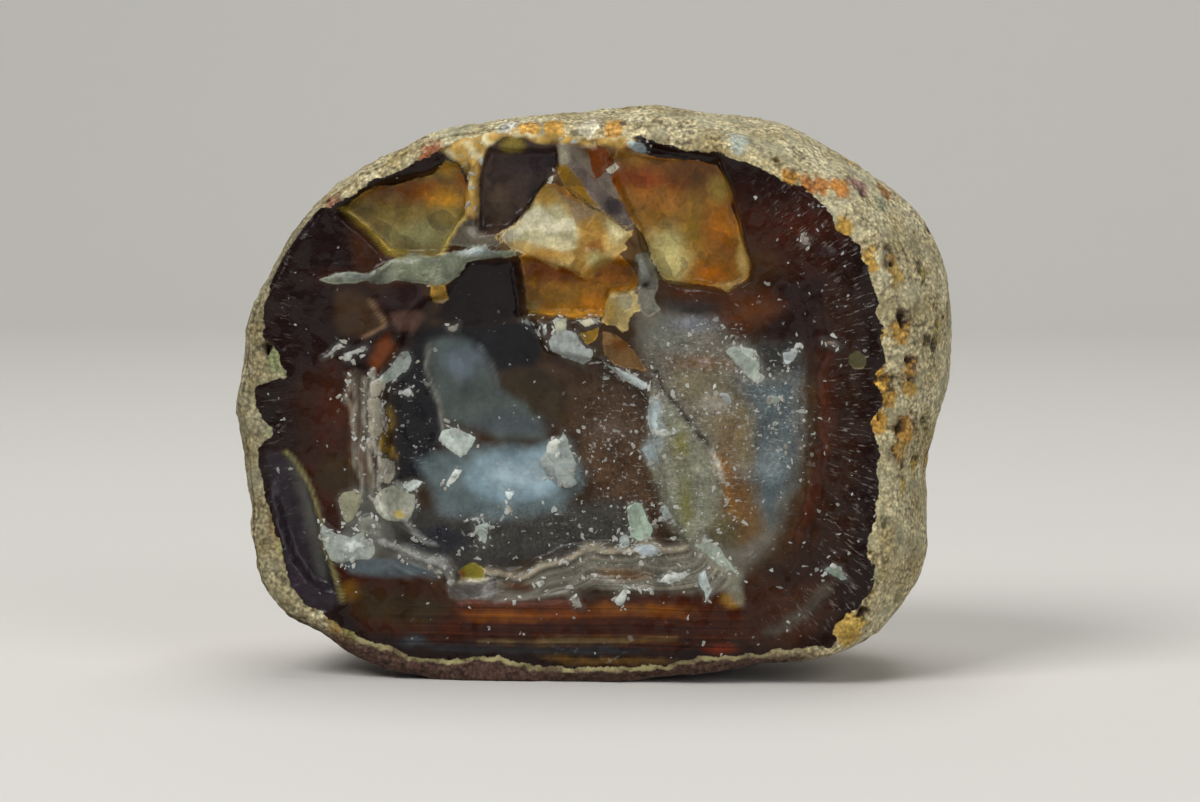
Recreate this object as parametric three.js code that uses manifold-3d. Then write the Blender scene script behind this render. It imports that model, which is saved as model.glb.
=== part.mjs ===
// Geode half: an agate nodule broken in two, standing on the flattened underside of its rind.
// Millimetres, +Z up. The broken face looks along -Y and the rounded back along +Y.
// The origin is on the flat underside, below the middle of the stone.
import * as THREE from "three";
import { ImprovedNoise } from "three/addons/math/ImprovedNoise.js";
import { mergeVertices } from "three/addons/utils/BufferGeometryUtils.js";
import Module from "manifold-3d";

// Driving dimensions of the whole stone
const faceY = -13; // where the plane of the break lies
const stoneDepth = 35; // from the break to the back of the stone
const axisHeight = 28.9; // height of the line from front to back that the outline is measured from
const backFullness = 2.5; // 2 is an ellipse, more is squarer
const roundReach = 33; // reach and widest depth that the outline settles to at the back
const roundWaistDepth = 6;
const frontCover = 3; // stone in front of the break, which the break takes away

// The outline round the nodule, counted from +X towards +Z. face is the reach from the axis at the
// break, waist the reach where the stone is widest, and waistDepth how far behind the break that is.
const outlineStations = [
  { angle: 0, face: 29.0, waist: 34.6, waistDepth: 11 },
  { angle: 15, face: 30.2, waist: 35.9, waistDepth: 11 },
  { angle: 30, face: 31.2, waist: 36.2, waistDepth: 11 },
  { angle: 48, face: 29.6, waist: 33.2, waistDepth: 10 },
  { angle: 72, face: 27.8, waist: 29.9, waistDepth: 8 },
  { angle: 96, face: 27.6, waist: 28.2, waistDepth: 5 },
  { angle: 120, face: 29.8, waist: 30.6, waistDepth: 4 },
  { angle: 150, face: 34.2, waist: 35.1, waistDepth: 4 },
  { angle: 180, face: 35.9, waist: 36.8, waistDepth: 4 },
  { angle: 197, face: 36.8, waist: 37.4, waistDepth: 3 },
  { angle: 211, face: 39.0, waist: 39.4, waistDepth: 3 },
  { angle: 226, face: 36.3, waist: 36.5, waistDepth: 3 },
  { angle: 243, face: 32.6, waist: 33.1, waistDepth: 5 },
  { angle: 262, face: 29.2, waist: 31.0, waistDepth: 8 },
  { angle: 282, face: 28.7, waist: 29.6, waistDepth: 8 },
  { angle: 302, face: 31.2, waist: 31.8, waistDepth: 6 },
  { angle: 317, face: 35.2, waist: 36.2, waistDepth: 6 },
  { angle: 331, face: 32.4, waist: 37.0, waistDepth: 9 },
  { angle: 346, face: 29.4, waist: 33.5, waistDepth: 10 },
];

// Lumps of the rind and swells of the break
const rindLumps = { height: 0.55, width: 8 };
const rindKnobs = { height: 0.2, width: 3.4 };
const breakSwells = { height: 1, width: 12 };
const breakRipples = { height: 0.35, width: 4.5 };

// Pits of the rind, in two fields: crowded on the right-hand side, thin elsewhere. Angles are in
// degrees like the outline's, and along is 0 at the middle of the back and 1 in front of the break.
const rindPits = { smallest: 0.5, largest: 1.2, longest: 1.4, sunk: 0.2, roundFrom: 0.8 };
const pitFields = [
  { count: 30, angles: [-35, 40], along: [0.66, 0.93] },
  { count: 16, angles: [0, 360], along: [0.25, 0.8] },
];

// Hollows of the break, with outlines as X and Z on the face. Each is a ball-shaped scoop inside its
// outline, depth deep at its deepest point.
const breakHollows = [
  {
    name: "basin round the grey pool",
    deepest: [-8, 23],
    depth: 3.4,
    ballRadius: 85,
    outline: [
      [-19.7, 34.6], [-21.3, 32], [-21.8, 28.6], [-21.2, 21.6], [-21.4, 18], [-19.7, 13.4],
      [-15.7, 11.8], [-14.2, 9.6], [-12.5, 8.9], [-9.7, 9.6], [-6.7, 11.6], [-2.7, 13.3],
      [1.8, 13.8], [9.1, 14.1], [7.1, 18.6], [5.8, 23.6], [5.1, 28.6], [0.8, 32.4], [-2.2, 32.8],
      [-5.2, 33.3], [-6.4, 36.4], [-8.1, 37], [-8.8, 42.4], [-13.2, 42.3], [-14.8, 40], [-15.8, 38.6],
      [-17.2, 38.7], [-19.2, 36.8],
    ],
  },
  {
    name: "amber scar on the right",
    deepest: [10.5, 43],
    depth: 3,
    ballRadius: 40,
    outline: [
      [1.5, 52.3], [6, 52.9], [11.8, 52.1], [13.6, 47.1], [14.5, 44.1], [15.2, 41.6], [13.3, 39.5],
      [10.3, 40.2], [7.1, 40.6], [5.6, 42.1], [4.7, 45.1], [3.2, 48.1], [1.5, 50.6],
    ],
  },
  {
    name: "honey-coloured scar in the middle",
    deepest: [-2, 45],
    depth: 1.4,
    ballRadius: 55,
    outline: [
      [-9.3, 45.2], [-6.6, 47.4], [-4.2, 50.1], [-1.2, 49.2], [2.3, 46.6], [4.2, 44.2], [4, 40.4],
      [-2, 37.6], [-7, 40.8], [-8.6, 43],
    ],
  },
  {
    name: "amber block under the middle scar",
    deepest: [-2, 37.4],
    depth: 3.7,
    ballRadius: 45,
    outline: [
      [-9.2, 41.8], [-7, 42.2], [-4.4, 40.8], [-2, 38.6], [1.3, 40.1], [4.3, 42], [4.1, 39], [3.2, 37],
      [-3.5, 36.8], [-6.2, 36], [-8.4, 36.6],
    ],
  },
  {
    name: "amber scar on the left",
    deepest: [-18.5, 45],
    depth: 2.8,
    ballRadius: 36,
    outline: [
      [-25.6, 48], [-23.7, 46.1], [-21.7, 44.2], [-19.7, 43.1], [-16.9, 43.3], [-15.5, 45],
      [-13.7, 47], [-13, 49], [-12.8, 52.2], [-16, 51.8], [-20, 50.2], [-23.3, 49.2],
    ],
  },
  {
    name: "dark facet between the scars",
    deepest: [-8.2, 46],
    depth: 2,
    ballRadius: 45,
    outline: [
      [-12.2, 44], [-12.4, 47], [-12, 50], [-11, 52.6], [-8.7, 53.6], [-6, 53.1], [-4.1, 53.6],
      [-4, 51.5], [-5.2, 50.2], [-6.6, 47.6], [-9.5, 45.4], [-10, 44],
    ],
  },
  {
    name: "crevice under the top of the rind",
    deepest: [7, 53],
    depth: 3.6,
    ballRadius: 30,
    outline: [
      [3.2, 53.4], [4.6, 54.3], [6.6, 53.7], [10, 53.4], [12.3, 52.7], [11.8, 52.2], [6, 53],
    ],
  },
  {
    name: "sunk strip by the lower left rim",
    deepest: [-29.4, 13.5],
    depth: 1.3,
    ballRadius: 60,
    outline: [
      [-31.8, 22], [-29.8, 19.6], [-27.9, 14.6], [-26.9, 10.6], [-26.2, 7.6], [-29, 8.8],
      [-30.9, 11], [-31.6, 15], [-32.2, 18.8],
    ],
  },
];

// Finish
const agateColour = 0x3a2720;
const agateRoughness = 0.35;

// Fineness of the faceted surfaces
const stepsAround = 80;
const stepsAlong = 56;
const sideShare = 0.26; // part of the back half's steps that lie between the break and the waist
const breakStep = 2.6;
const ballSteps = 56;

const wasm = await Module();
wasm.setup();
const noise = new ImprovedNoise();

// A closed three.js geometry as a solid, with its shared corners merged.
function solidOf(geometry) {
  const bare = geometry.clone();
  bare.deleteAttribute("normal");
  bare.deleteAttribute("uv");
  const merged = mergeVertices(bare, 1e-4);
  return new wasm.Manifold(
    new wasm.Mesh({
      numProp: 3,
      vertProperties: merged.getAttribute("position").array,
      triVerts: new Uint32Array(merged.index.array),
    }),
  );
}

// A solid's surface as a three.js geometry.
function geometryOf(solid) {
  const mesh = solid.getMesh();
  const geometry = new THREE.BufferGeometry();
  geometry.setAttribute("position", new THREE.BufferAttribute(mesh.vertProperties, mesh.numProp));
  geometry.setIndex(new THREE.BufferAttribute(mesh.triVerts, 1));
  geometry.computeVertexNormals();
  return geometry;
}

// Even numbers from 0 to 1 that are the same on every run.
function numberSource(seed) {
  let state = seed;
  return () => {
    state = (state * 1664525 + 1013904223) % 4294967296;
    return state / 4294967296;
  };
}

// A closed smooth line through one value of every outline station, read by angle in radians.
function roundTheOutline(value) {
  const fullTurn = 2 * Math.PI;
  const count = outlineStations.length;
  const angleOf = (k) => {
    const turns = Math.floor(k / count);
    return THREE.MathUtils.degToRad(outlineStations[k % count].angle) + fullTurn * turns;
  };
  const valueOf = (k) => outlineStations[k % count][value];
  return (angle) => {
    const turned = THREE.MathUtils.euclideanModulo(angle, fullTurn);
    let k = count - 1;
    while (angleOf(k) > turned) k -= 1;
    const [before, from, to, after] = [k + count - 1, k, k + 1, k + 2].map(valueOf);
    const t = (turned - angleOf(k)) / (angleOf(k + 1) - angleOf(k));
    const slopeFrom = (to - before) / 2;
    const slopeTo = (after - from) / 2;
    const rise = t * t * (3 - 2 * t);
    return from + (to - from) * rise + slopeFrom * t * (1 - t) ** 2 - slopeTo * t * t * (1 - t);
  };
}

const faceReach = roundTheOutline("face");
const waistReach = roundTheOutline("waist");
const waistDepth = roundTheOutline("waistDepth");

// Reach and depth behind the break of the rind at an angle. along is 0 at the middle of the back,
// and 1 just in front of the break. Towards the middle of the back the outline grows rounder.
function rindProfile(angle, along) {
  if (along < 1 - sideShare) {
    const turn = ((along / (1 - sideShare)) * Math.PI) / 2;
    const widest = THREE.MathUtils.lerp(roundReach, waistReach(angle), Math.sin(turn));
    const start = THREE.MathUtils.lerp(roundWaistDepth, waistDepth(angle), Math.sin(turn) ** 2);
    return {
      reach: widest * Math.sin(turn) ** (2 / backFullness),
      depth: start + (stoneDepth - start) * Math.max(Math.cos(turn), 0) ** (2 / backFullness),
    };
  }
  const waist = waistDepth(angle);
  const depth = waist - ((along - 1 + sideShare) / sideShare) * (waist + frontCover);
  const inset = waistReach(angle) - faceReach(angle);
  return { reach: waistReach(angle) - inset * (1 - depth / waist) ** 2, depth };
}

function lumpsAt(point, { height, width }) {
  return height * noise.noise(point.x / width, point.y / width, point.z / width);
}

// A point of the rind, with its lumps.
function rindPoint(angle, along) {
  const { reach, depth } = rindProfile(angle, along);
  const outwards = new THREE.Vector3(Math.cos(angle), 0, Math.sin(angle));
  const point = outwards.clone().multiplyScalar(reach);
  point.y = depth;
  const swell = lumpsAt(point, rindLumps) + lumpsAt(point, rindKnobs);
  const backwards = 1 - Math.min(along / (1 - sideShare), 1);
  outwards.lerp(new THREE.Vector3(0, 1, 0), backwards).normalize();
  point.addScaledVector(outwards, swell);
  return point.add(new THREE.Vector3(0, faceY, axisHeight));
}

// The whole nodule as far as just in front of the break: a sphere with its poles front and back,
// whose back half takes the rind's form and whose front half becomes a flat lid.
function nodule() {
  const ball = new THREE.SphereGeometry(1, stepsAround, stepsAlong);
  const place = ball.getAttribute("position");
  for (let i = 0; i < place.count; i++) {
    const [x, y, z] = [place.getX(i), place.getY(i), place.getZ(i)];
    const angle = Math.atan2(z, x);
    const fromBack = Math.acos(THREE.MathUtils.clamp(y, -1, 1)) / (Math.PI / 2);
    const point = rindPoint(angle, Math.min(fromBack, 1));
    if (fromBack > 1) {
      const share = 2 - fromBack;
      point.x *= share;
      point.z = axisHeight + (point.z - axisHeight) * share;
    }
    place.setXYZ(i, point.x, point.y, point.z);
  }
  return solidOf(ball);
}

// What the break takes away in front: a slab whose back swells like a rough fracture.
function brokenAway() {
  const [wide, thick, high] = [100, 30, 90];
  const [columns, rows] = [Math.round(wide / breakStep), Math.round(high / breakStep)];
  const slab = new THREE.BoxGeometry(wide, thick, high, columns, 1, rows);
  slab.translate(0, faceY - thick / 2, axisHeight);
  const place = slab.getAttribute("position");
  const onBreak = new THREE.Vector3();
  for (let i = 0; i < place.count; i++) {
    if (place.getY(i) < faceY - thick / 2) continue;
    onBreak.set(place.getX(i), 0, place.getZ(i));
    place.setY(i, faceY + lumpsAt(onBreak, breakSwells) + lumpsAt(onBreak, breakRipples));
  }
  return solidOf(slab);
}

// One hollow of the break: its outline run straight in, as far as a ball in front of the face reaches.
function hollow({ outline, deepest, depth, ballRadius }) {
  const reach = 8; // in front of the break and behind it
  const shape = new THREE.Shape(outline.map(([x, z]) => new THREE.Vector2(x, z)));
  const column = new THREE.ExtrudeGeometry(shape, { depth: reach * 2, bevelEnabled: false });
  column.rotateX(Math.PI / 2).translate(0, faceY + reach, 0);
  const ball = new THREE.SphereGeometry(ballRadius, ballSteps, ballSteps / 2);
  ball.translate(deepest[0], faceY + depth - ballRadius, deepest[1]);
  return solidOf(column).intersect(solidOf(ball));
}

// The pits of the rind as one solid of small faceted balls, their middles just outside the surface.
function pits() {
  const next = numberSource(7);
  const between = (low, high) => low + (high - low) * next();
  const heart = new THREE.Vector3(0, faceY + stoneDepth / 3, axisHeight);
  let all = null;
  for (const { count, angles, along } of pitFields) {
    for (let i = 0; i < count; i++) {
      const centre = rindPoint(THREE.MathUtils.degToRad(between(...angles)), between(...along));
      const size = rindPits.smallest + (rindPits.largest - rindPits.smallest) * next() ** 2;
      const pit = new THREE.IcosahedronGeometry(size, size < rindPits.roundFrom ? 0 : 1);
      pit.scale(1, between(1, rindPits.longest), 1);
      pit.rotateX(between(0, Math.PI)).rotateZ(between(0, Math.PI));
      const outwards = centre.clone().sub(heart).normalize();
      centre.addScaledVector(outwards, size * rindPits.sunk);
      const solid = solidOf(pit.translate(centre.x, centre.y, centre.z));
      all = all ? all.add(solid) : solid;
    }
  }
  return all;
}

// Everything below the ground, where the underside of the stone is flat.
function ground() {
  const [wide, thick] = [120, 20];
  const slab = new THREE.BoxGeometry(wide, wide, thick);
  return solidOf(slab.translate(0, 0, -thick / 2));
}

function geodeHalf() {
  let stone = nodule().subtract(brokenAway());
  for (const scar of breakHollows) stone = stone.subtract(hollow(scar));
  stone = stone.subtract(pits()).subtract(ground());
  const material = new THREE.MeshStandardMaterial({
    color: agateColour,
    roughness: agateRoughness,
    metalness: 0,
  });
  const mesh = new THREE.Mesh(geometryOf(stone), material);
  mesh.name = "geode_half";
  return mesh;
}

const geode = new THREE.Group();
geode.add(geodeHalf());

export default geode;
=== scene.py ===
import math

import bmesh
import bpy
import numpy as np
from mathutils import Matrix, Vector


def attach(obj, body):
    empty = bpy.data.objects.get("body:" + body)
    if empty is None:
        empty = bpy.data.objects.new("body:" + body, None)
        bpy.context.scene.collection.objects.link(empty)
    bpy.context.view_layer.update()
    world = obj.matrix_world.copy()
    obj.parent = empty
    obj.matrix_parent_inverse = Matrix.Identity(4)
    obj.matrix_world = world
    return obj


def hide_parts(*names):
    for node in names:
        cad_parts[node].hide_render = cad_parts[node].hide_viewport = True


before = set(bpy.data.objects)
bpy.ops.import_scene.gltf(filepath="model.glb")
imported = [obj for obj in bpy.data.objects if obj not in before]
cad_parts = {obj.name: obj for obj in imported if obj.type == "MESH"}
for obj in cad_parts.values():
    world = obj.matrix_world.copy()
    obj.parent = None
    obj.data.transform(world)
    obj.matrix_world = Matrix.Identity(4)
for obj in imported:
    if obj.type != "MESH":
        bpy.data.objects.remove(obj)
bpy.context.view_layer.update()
mm = 0.001
print("frame loaded")


# small helpers

def linearColour(hexText):
    parts = [int(hexText[i:i + 2], 16) / 255 for i in (0, 2, 4)]
    return tuple(c / 12.92 if c <= 0.04045 else ((c + 0.055) / 1.055) ** 2.4 for c in parts) + (1.0,)


def addNode(tree, kind, settings, inputs):
    # inputs: socket name or number to a value, a node (its first live output) or an output socket
    node = tree.nodes.new(kind)
    for name, value in settings.items():
        setattr(node, name, value)
    for name, value in inputs.items():
        if isinstance(name, int):
            socket = node.inputs[name]
        else:
            socket = next(s for s in node.inputs if s.enabled and s.name == name)
        if isinstance(value, bpy.types.Node):
            value = next(s for s in value.outputs if s.enabled)
        if isinstance(value, bpy.types.NodeSocket):
            tree.links.new(value, socket)
        else:
            socket.default_value = value
    return node


def smoothStep(low, high, value):
    t = np.clip((value - low) / (high - low), 0, 1)
    return t * t * (3 - 2 * t)


def swell(points, size, seed):
    # smooth gradient noise from about -1 to 1, with lumps about size mm across
    rng = np.random.default_rng(seed)
    order = np.tile(rng.permutation(256), 3)
    slopes = rng.normal(size=(256, 3))
    slopes /= np.linalg.norm(slopes, axis=1)[:, None]
    place = points / size + 100.0
    cell = np.floor(place).astype(int)
    inside = place - cell
    fade = inside ** 3 * (inside * (inside * 6 - 15) + 10)
    total = np.zeros(len(points))
    for dx in (0, 1):
        for dy in (0, 1):
            for dz in (0, 1):
                corner = (cell + (dx, dy, dz)) % 256
                pick = order[order[order[corner[:, 0]] + corner[:, 1]] + corner[:, 2]]
                rise = (slopes[pick] * (inside - (dx, dy, dz))).sum(1)
                weight = np.abs((1 - dx - fade[:, 0]) * (1 - dy - fade[:, 1]) * (1 - dz - fade[:, 2]))
                total += rise * weight
    return total * 1.6


def insideDistance(x, z, outline):
    # mm from the outline, above 0 inside it
    corners = np.array(outline, float)
    best = np.full(len(x), 1e9)
    inside = np.zeros(len(x), bool)
    for (x0, z0), (x1, z1) in zip(corners, np.roll(corners, -1, 0)):
        ex, ez = x1 - x0, z1 - z0
        t = np.clip(((x - x0) * ex + (z - z0) * ez) / (ex * ex + ez * ez), 0, 1)
        best = np.minimum(best, np.hypot(x - x0 - ex * t, z - z0 - ez * t))
        inside ^= ((z0 > z) != (z1 > z)) & (x < x0 + ex * (z - z0) / (ez if ez else 1e-9))
    return np.where(inside, best, -best)


def lineDistance(x, z, line):
    best = np.full(len(x), 1e9)
    for (x0, z0), (x1, z1) in zip(line, line[1:]):
        ex, ez = x1 - x0, z1 - z0
        t = np.clip(((x - x0) * ex + (z - z0) * ez) / (ex * ex + ez * ez), 0, 1)
        best = np.minimum(best, np.hypot(x - x0 - ex * t, z - z0 - ez * t))
    return best


def facets(x, z, size, seed):
    # flat chips about size mm across, each tilted its own way; height from about -1 to 1
    rng = np.random.default_rng(seed)
    jitter = rng.random((64, 64, 2))
    tilt = rng.normal(size=(64, 64, 3)) * 0.5
    u, v = x / size, z / size
    cu, cv = np.floor(u).astype(int), np.floor(v).astype(int)
    best = np.full(len(x), 1e9)
    height = np.zeros(len(x))
    for du in (-1, 0, 1):
        for dv in (-1, 0, 1):
            pu, pv = (cu + du) % 64, (cv + dv) % 64
            ox, oz = u - cu - du - jitter[pu, pv, 0], v - cv - dv - jitter[pu, pv, 1]
            gap = np.hypot(ox, oz)
            plane = tilt[pu, pv, 0] * ox + tilt[pu, pv, 1] * oz + tilt[pu, pv, 2] * 0.5
            height = np.where(gap < best, plane, height)
            best = np.minimum(best, gap)
    return height


# camera at the photograph's angle: about 6 degrees to the right of the face and 5 above

view = {"azimuth": 6.0, "elevation": 5.0, "distance": 400.0, "lens": 120.0, "target": (0.3, -13.0, 28.5)}


def makeCamera():
    a, e = math.radians(view["azimuth"]), math.radians(view["elevation"])
    back = Vector((math.sin(a) * math.cos(e), -math.cos(a) * math.cos(e), math.sin(e)))
    data = bpy.data.cameras.new("camera")
    data.lens, data.sensor_width = view["lens"], 36.0
    data.clip_start, data.clip_end = 0.01, 10.0
    camera = bpy.data.objects.new("camera", data)
    camera.location = (Vector(view["target"]) + back * view["distance"]) * mm
    camera.rotation_mode = "QUATERNION"
    camera.rotation_quaternion = (-back).to_track_quat("-Z", "Y")
    bpy.context.scene.collection.objects.link(camera)
    bpy.context.scene.camera = camera


makeCamera()
print("camera placed")


# the stone's form, the same values as its solid

stone = {
    "faceY": -13.0, "depth": 35.0, "axisHeight": 28.9, "backFullness": 2.5,
    "roundReach": 33.0, "roundWaist": 6.0, "frontCover": 3.0, "sideShare": 0.26,
    "faceCells": 220, "rimRings": 10, "sideRings": 60, "backFrom": 0.45, "meanReach": 32,
    "rimCrumble": 0.6, "rimCrumbleWidth": 0.9,  # how far the rim's corner is worn back, and over what width
    "lumps": ((0.5, 8.0, 3), (0.2, 3.4, 4)),  # height, width, seed
    # angle, reach at the break, reach where widest, how far behind the break that is
    "stations": [
        (0, 29.0, 34.6, 11), (15, 30.2, 35.9, 11), (30, 31.2, 36.2, 11), (48, 29.6, 33.2, 10),
        (72, 27.8, 29.9, 8), (96, 27.6, 28.2, 5), (120, 29.8, 30.6, 4), (150, 34.2, 35.1, 4),
        (180, 35.9, 36.8, 4), (197, 36.8, 37.4, 3), (211, 39.0, 39.4, 3), (226, 36.3, 36.5, 3),
        (243, 32.6, 33.1, 5), (262, 29.2, 31.0, 8), (282, 28.7, 29.6, 8), (302, 31.2, 31.8, 6),
        (317, 35.2, 36.2, 6), (331, 32.4, 37.0, 9), (346, 29.4, 33.5, 10),
    ],
}


def roundTheOutline(column):
    table = np.array(stone["stations"], float)
    angles, values = np.radians(table[:, 0]), table[:, column]
    count = len(values)

    def read(angle):
        turned = np.mod(angle, 2 * np.pi)
        k = np.searchsorted(angles, turned, "right") - 1
        fromAngle = angles[k]
        toAngle = np.where(k + 1 < count, angles[(k + 1) % count], 2 * np.pi)
        before, start, end, after = (values[(k + s) % count] for s in (-1, 0, 1, 2))
        t = (turned - fromAngle) / (toAngle - fromAngle)
        rise = t * t * (3 - 2 * t)
        leaving = (end - before) / 2 * t * (1 - t) ** 2
        arriving = (after - start) / 2 * t * t * (1 - t)
        return start + (end - start) * rise + leaving - arriving
    return read


faceReach, waistReach, waistDepth = (roundTheOutline(c) for c in (1, 2, 3))


def rindPoints(angle, along):
    # along is 0 at the middle of the back and 1 in front of the break
    share, full = 1 - stone["sideShare"], 2 / stone["backFullness"]
    turn = np.clip(along / share, 0, 1) * np.pi / 2
    widest = stone["roundReach"] + (waistReach(angle) - stone["roundReach"]) * np.sin(turn)
    start = stone["roundWaist"] + (waistDepth(angle) - stone["roundWaist"]) * np.sin(turn) ** 2
    backReach = widest * np.sin(turn) ** full
    backDepth = start + (stone["depth"] - start) * np.clip(np.cos(turn), 0, 1) ** full
    waist = waistDepth(angle)
    frontDepth = waist - (along - share) / stone["sideShare"] * (waist + stone["frontCover"])
    inset = waistReach(angle) - faceReach(angle)
    frontReach = waistReach(angle) - inset * (1 - frontDepth / waist) ** 2
    onBack = along < share
    reach, depth = np.where(onBack, backReach, frontReach), np.where(onBack, backDepth, frontDepth)
    outwards = np.stack([np.cos(angle), np.zeros_like(angle), np.sin(angle)], 1)
    points = outwards * reach[:, None]
    points[:, 1] = depth
    backwards = 1 - np.clip(along / share, 0, 1)
    outwards = outwards * (1 - backwards)[:, None] + np.array((0, 1, 0)) * backwards[:, None]
    outwards /= np.linalg.norm(outwards, axis=1)[:, None]
    for height, width, seed in stone["lumps"]:
        points += outwards * (height * swell(points, width, seed))[:, None]
    return points + (0, stone["faceY"], stone["axisHeight"])


def discGrid(cells):
    # a square grid pressed into a disc: share of the reach and angle of every corner, row by row
    line = np.linspace(-1, 1, cells + 1)
    v, u = (g.ravel() for g in np.meshgrid(line, line, indexing="ij"))
    wide = np.abs(u) >= np.abs(v)
    lead = np.where(wide, u, v)
    safe = np.where(lead == 0, 1, lead)
    angle = np.where(wide, np.pi / 4 * v / safe, np.pi / 2 - np.pi / 4 * u / safe)
    return np.abs(lead), np.where(lead < 0, angle + np.pi, angle)


def discEdge(cells):
    # corner numbers round the grid, from -45 degrees towards +Z
    side, n = cells + 1, cells
    loop = [r * side + n for r in range(n)] + [n * side + c for c in range(n, 0, -1)]
    return np.array(loop + [r * side for r in range(n, 0, -1)] + list(range(n)))


def discFaces(cells, first, flip):
    side = cells + 1
    r, c = (g.ravel() for g in np.meshgrid(np.arange(cells), np.arange(cells), indexing="ij"))
    corner = first + r * side + c
    quads = np.stack([corner, corner + 1, corner + side + 1, corner + side], 1)
    return (quads[:, ::-1] if flip else quads).tolist()


# the broken face: hollows as in the solid, X and Z in mm on the face

hollows = {
    "basin": {"deepest": (-8, 23), "depth": 3.4, "ball": 85, "outline": [
        (-19.7, 34.6), (-21.3, 32), (-21.8, 28.6), (-21.2, 21.6), (-21.4, 18), (-19.7, 13.4), (-15.7, 11.8),
        (-14.2, 9.6), (-12.5, 8.9), (-9.7, 9.6), (-6.7, 11.6), (-2.7, 13.3), (1.8, 13.8), (9.1, 14.1),
        (7.1, 18.6), (5.8, 23.6), (5.1, 28.6), (0.8, 32.4), (-2.2, 32.8), (-5.2, 33.3), (-6.4, 36.4),
        (-8.1, 37), (-8.8, 42.4), (-13.2, 42.3), (-14.8, 40), (-15.8, 38.6), (-17.2, 38.7), (-19.2, 36.8)]},
    "amberRight": {"deepest": (10.5, 43), "depth": 3, "ball": 40, "outline": [
        (1.3, 53.2), (4.7, 53), (12.1, 52.4), (13, 49.9), (14.1, 46.7), (14.7, 43.5), (15.3, 42),
        (15, 40.8), (13.2, 39.6), (10.2, 40), (6.8, 40.5), (5.5, 41.2), (5, 42.5), (4.3, 45.3), (3.3, 47.1),
        (2.4, 49.4), (1.3, 51.7)]},
    "honey": {"deepest": (-2, 45), "depth": 1.4, "ball": 55, "outline": [
        (-9.6, 45.3), (-7.8, 47.1), (-5.9, 49.4), (-4, 50.3), (-0.8, 48), (2.4, 45.7), (3.8, 43.9),
        (3.6, 41.4), (1, 40.6), (-1.5, 39.6), (-4, 40.6), (-6.4, 41.6), (-8.2, 43.2)]},
    "amberBlock": {"deepest": (-2, 37.4), "depth": 3.7, "ball": 45, "outline": [
        (-8.6, 42.9), (-6.4, 42.5), (-4, 41.7), (-2.7, 41.2), (-1.5, 40.6), (-0.3, 42), (1, 42.5),
        (3.9, 42.2), (3.9, 40.2), (2.9, 39.6), (1, 39.3), (0.3, 36.8), (-3.6, 36.9), (-7.7, 36.9)]},
    "amberLeft": {"deepest": (-18.5, 45), "depth": 2.8, "ball": 36, "outline": [
        (-26.1, 47.3), (-24, 49.2), (-20.8, 50.4), (-17.5, 51), (-15.6, 51.9), (-12.9, 52.1), (-13.2, 49.4),
        (-13.5, 47.1), (-15.2, 44.8), (-16.1, 43.2), (-18.4, 42.8), (-21.2, 43.2), (-23.1, 44.8),
        (-25, 46.4)]},
    "darkFacet": {"deepest": (-8.2, 46), "depth": 2, "ball": 45, "outline": [
        (-10.8, 53.6), (-8.2, 53.4), (-4, 53.6), (-4, 51.7), (-5.9, 49.4), (-7.3, 47.6), (-9.1, 45.7),
        (-11.9, 45.3), (-12.2, 48), (-11.7, 51.7)]},
    "crevice": {"deepest": (7, 53), "depth": 1.4, "ball": 30, "outline": [
        (3.2, 53.4), (4.6, 54.3), (6.6, 53.7), (10, 53.4), (12.3, 52.9), (11.8, 52.3), (6, 53)]},
    "strip": {"deepest": (-29.4, 13.5), "depth": 1.3, "ball": 60, "outline": [
        (-33.2, 22.3), (-31.5, 22.4), (-29.7, 19.5), (-28.7, 17.2), (-27.8, 13), (-26.9, 9.1), (-29.2, 9.8),
        (-31.1, 12.6), (-32, 15.8), (-32.7, 19.1)]},
}

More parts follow.
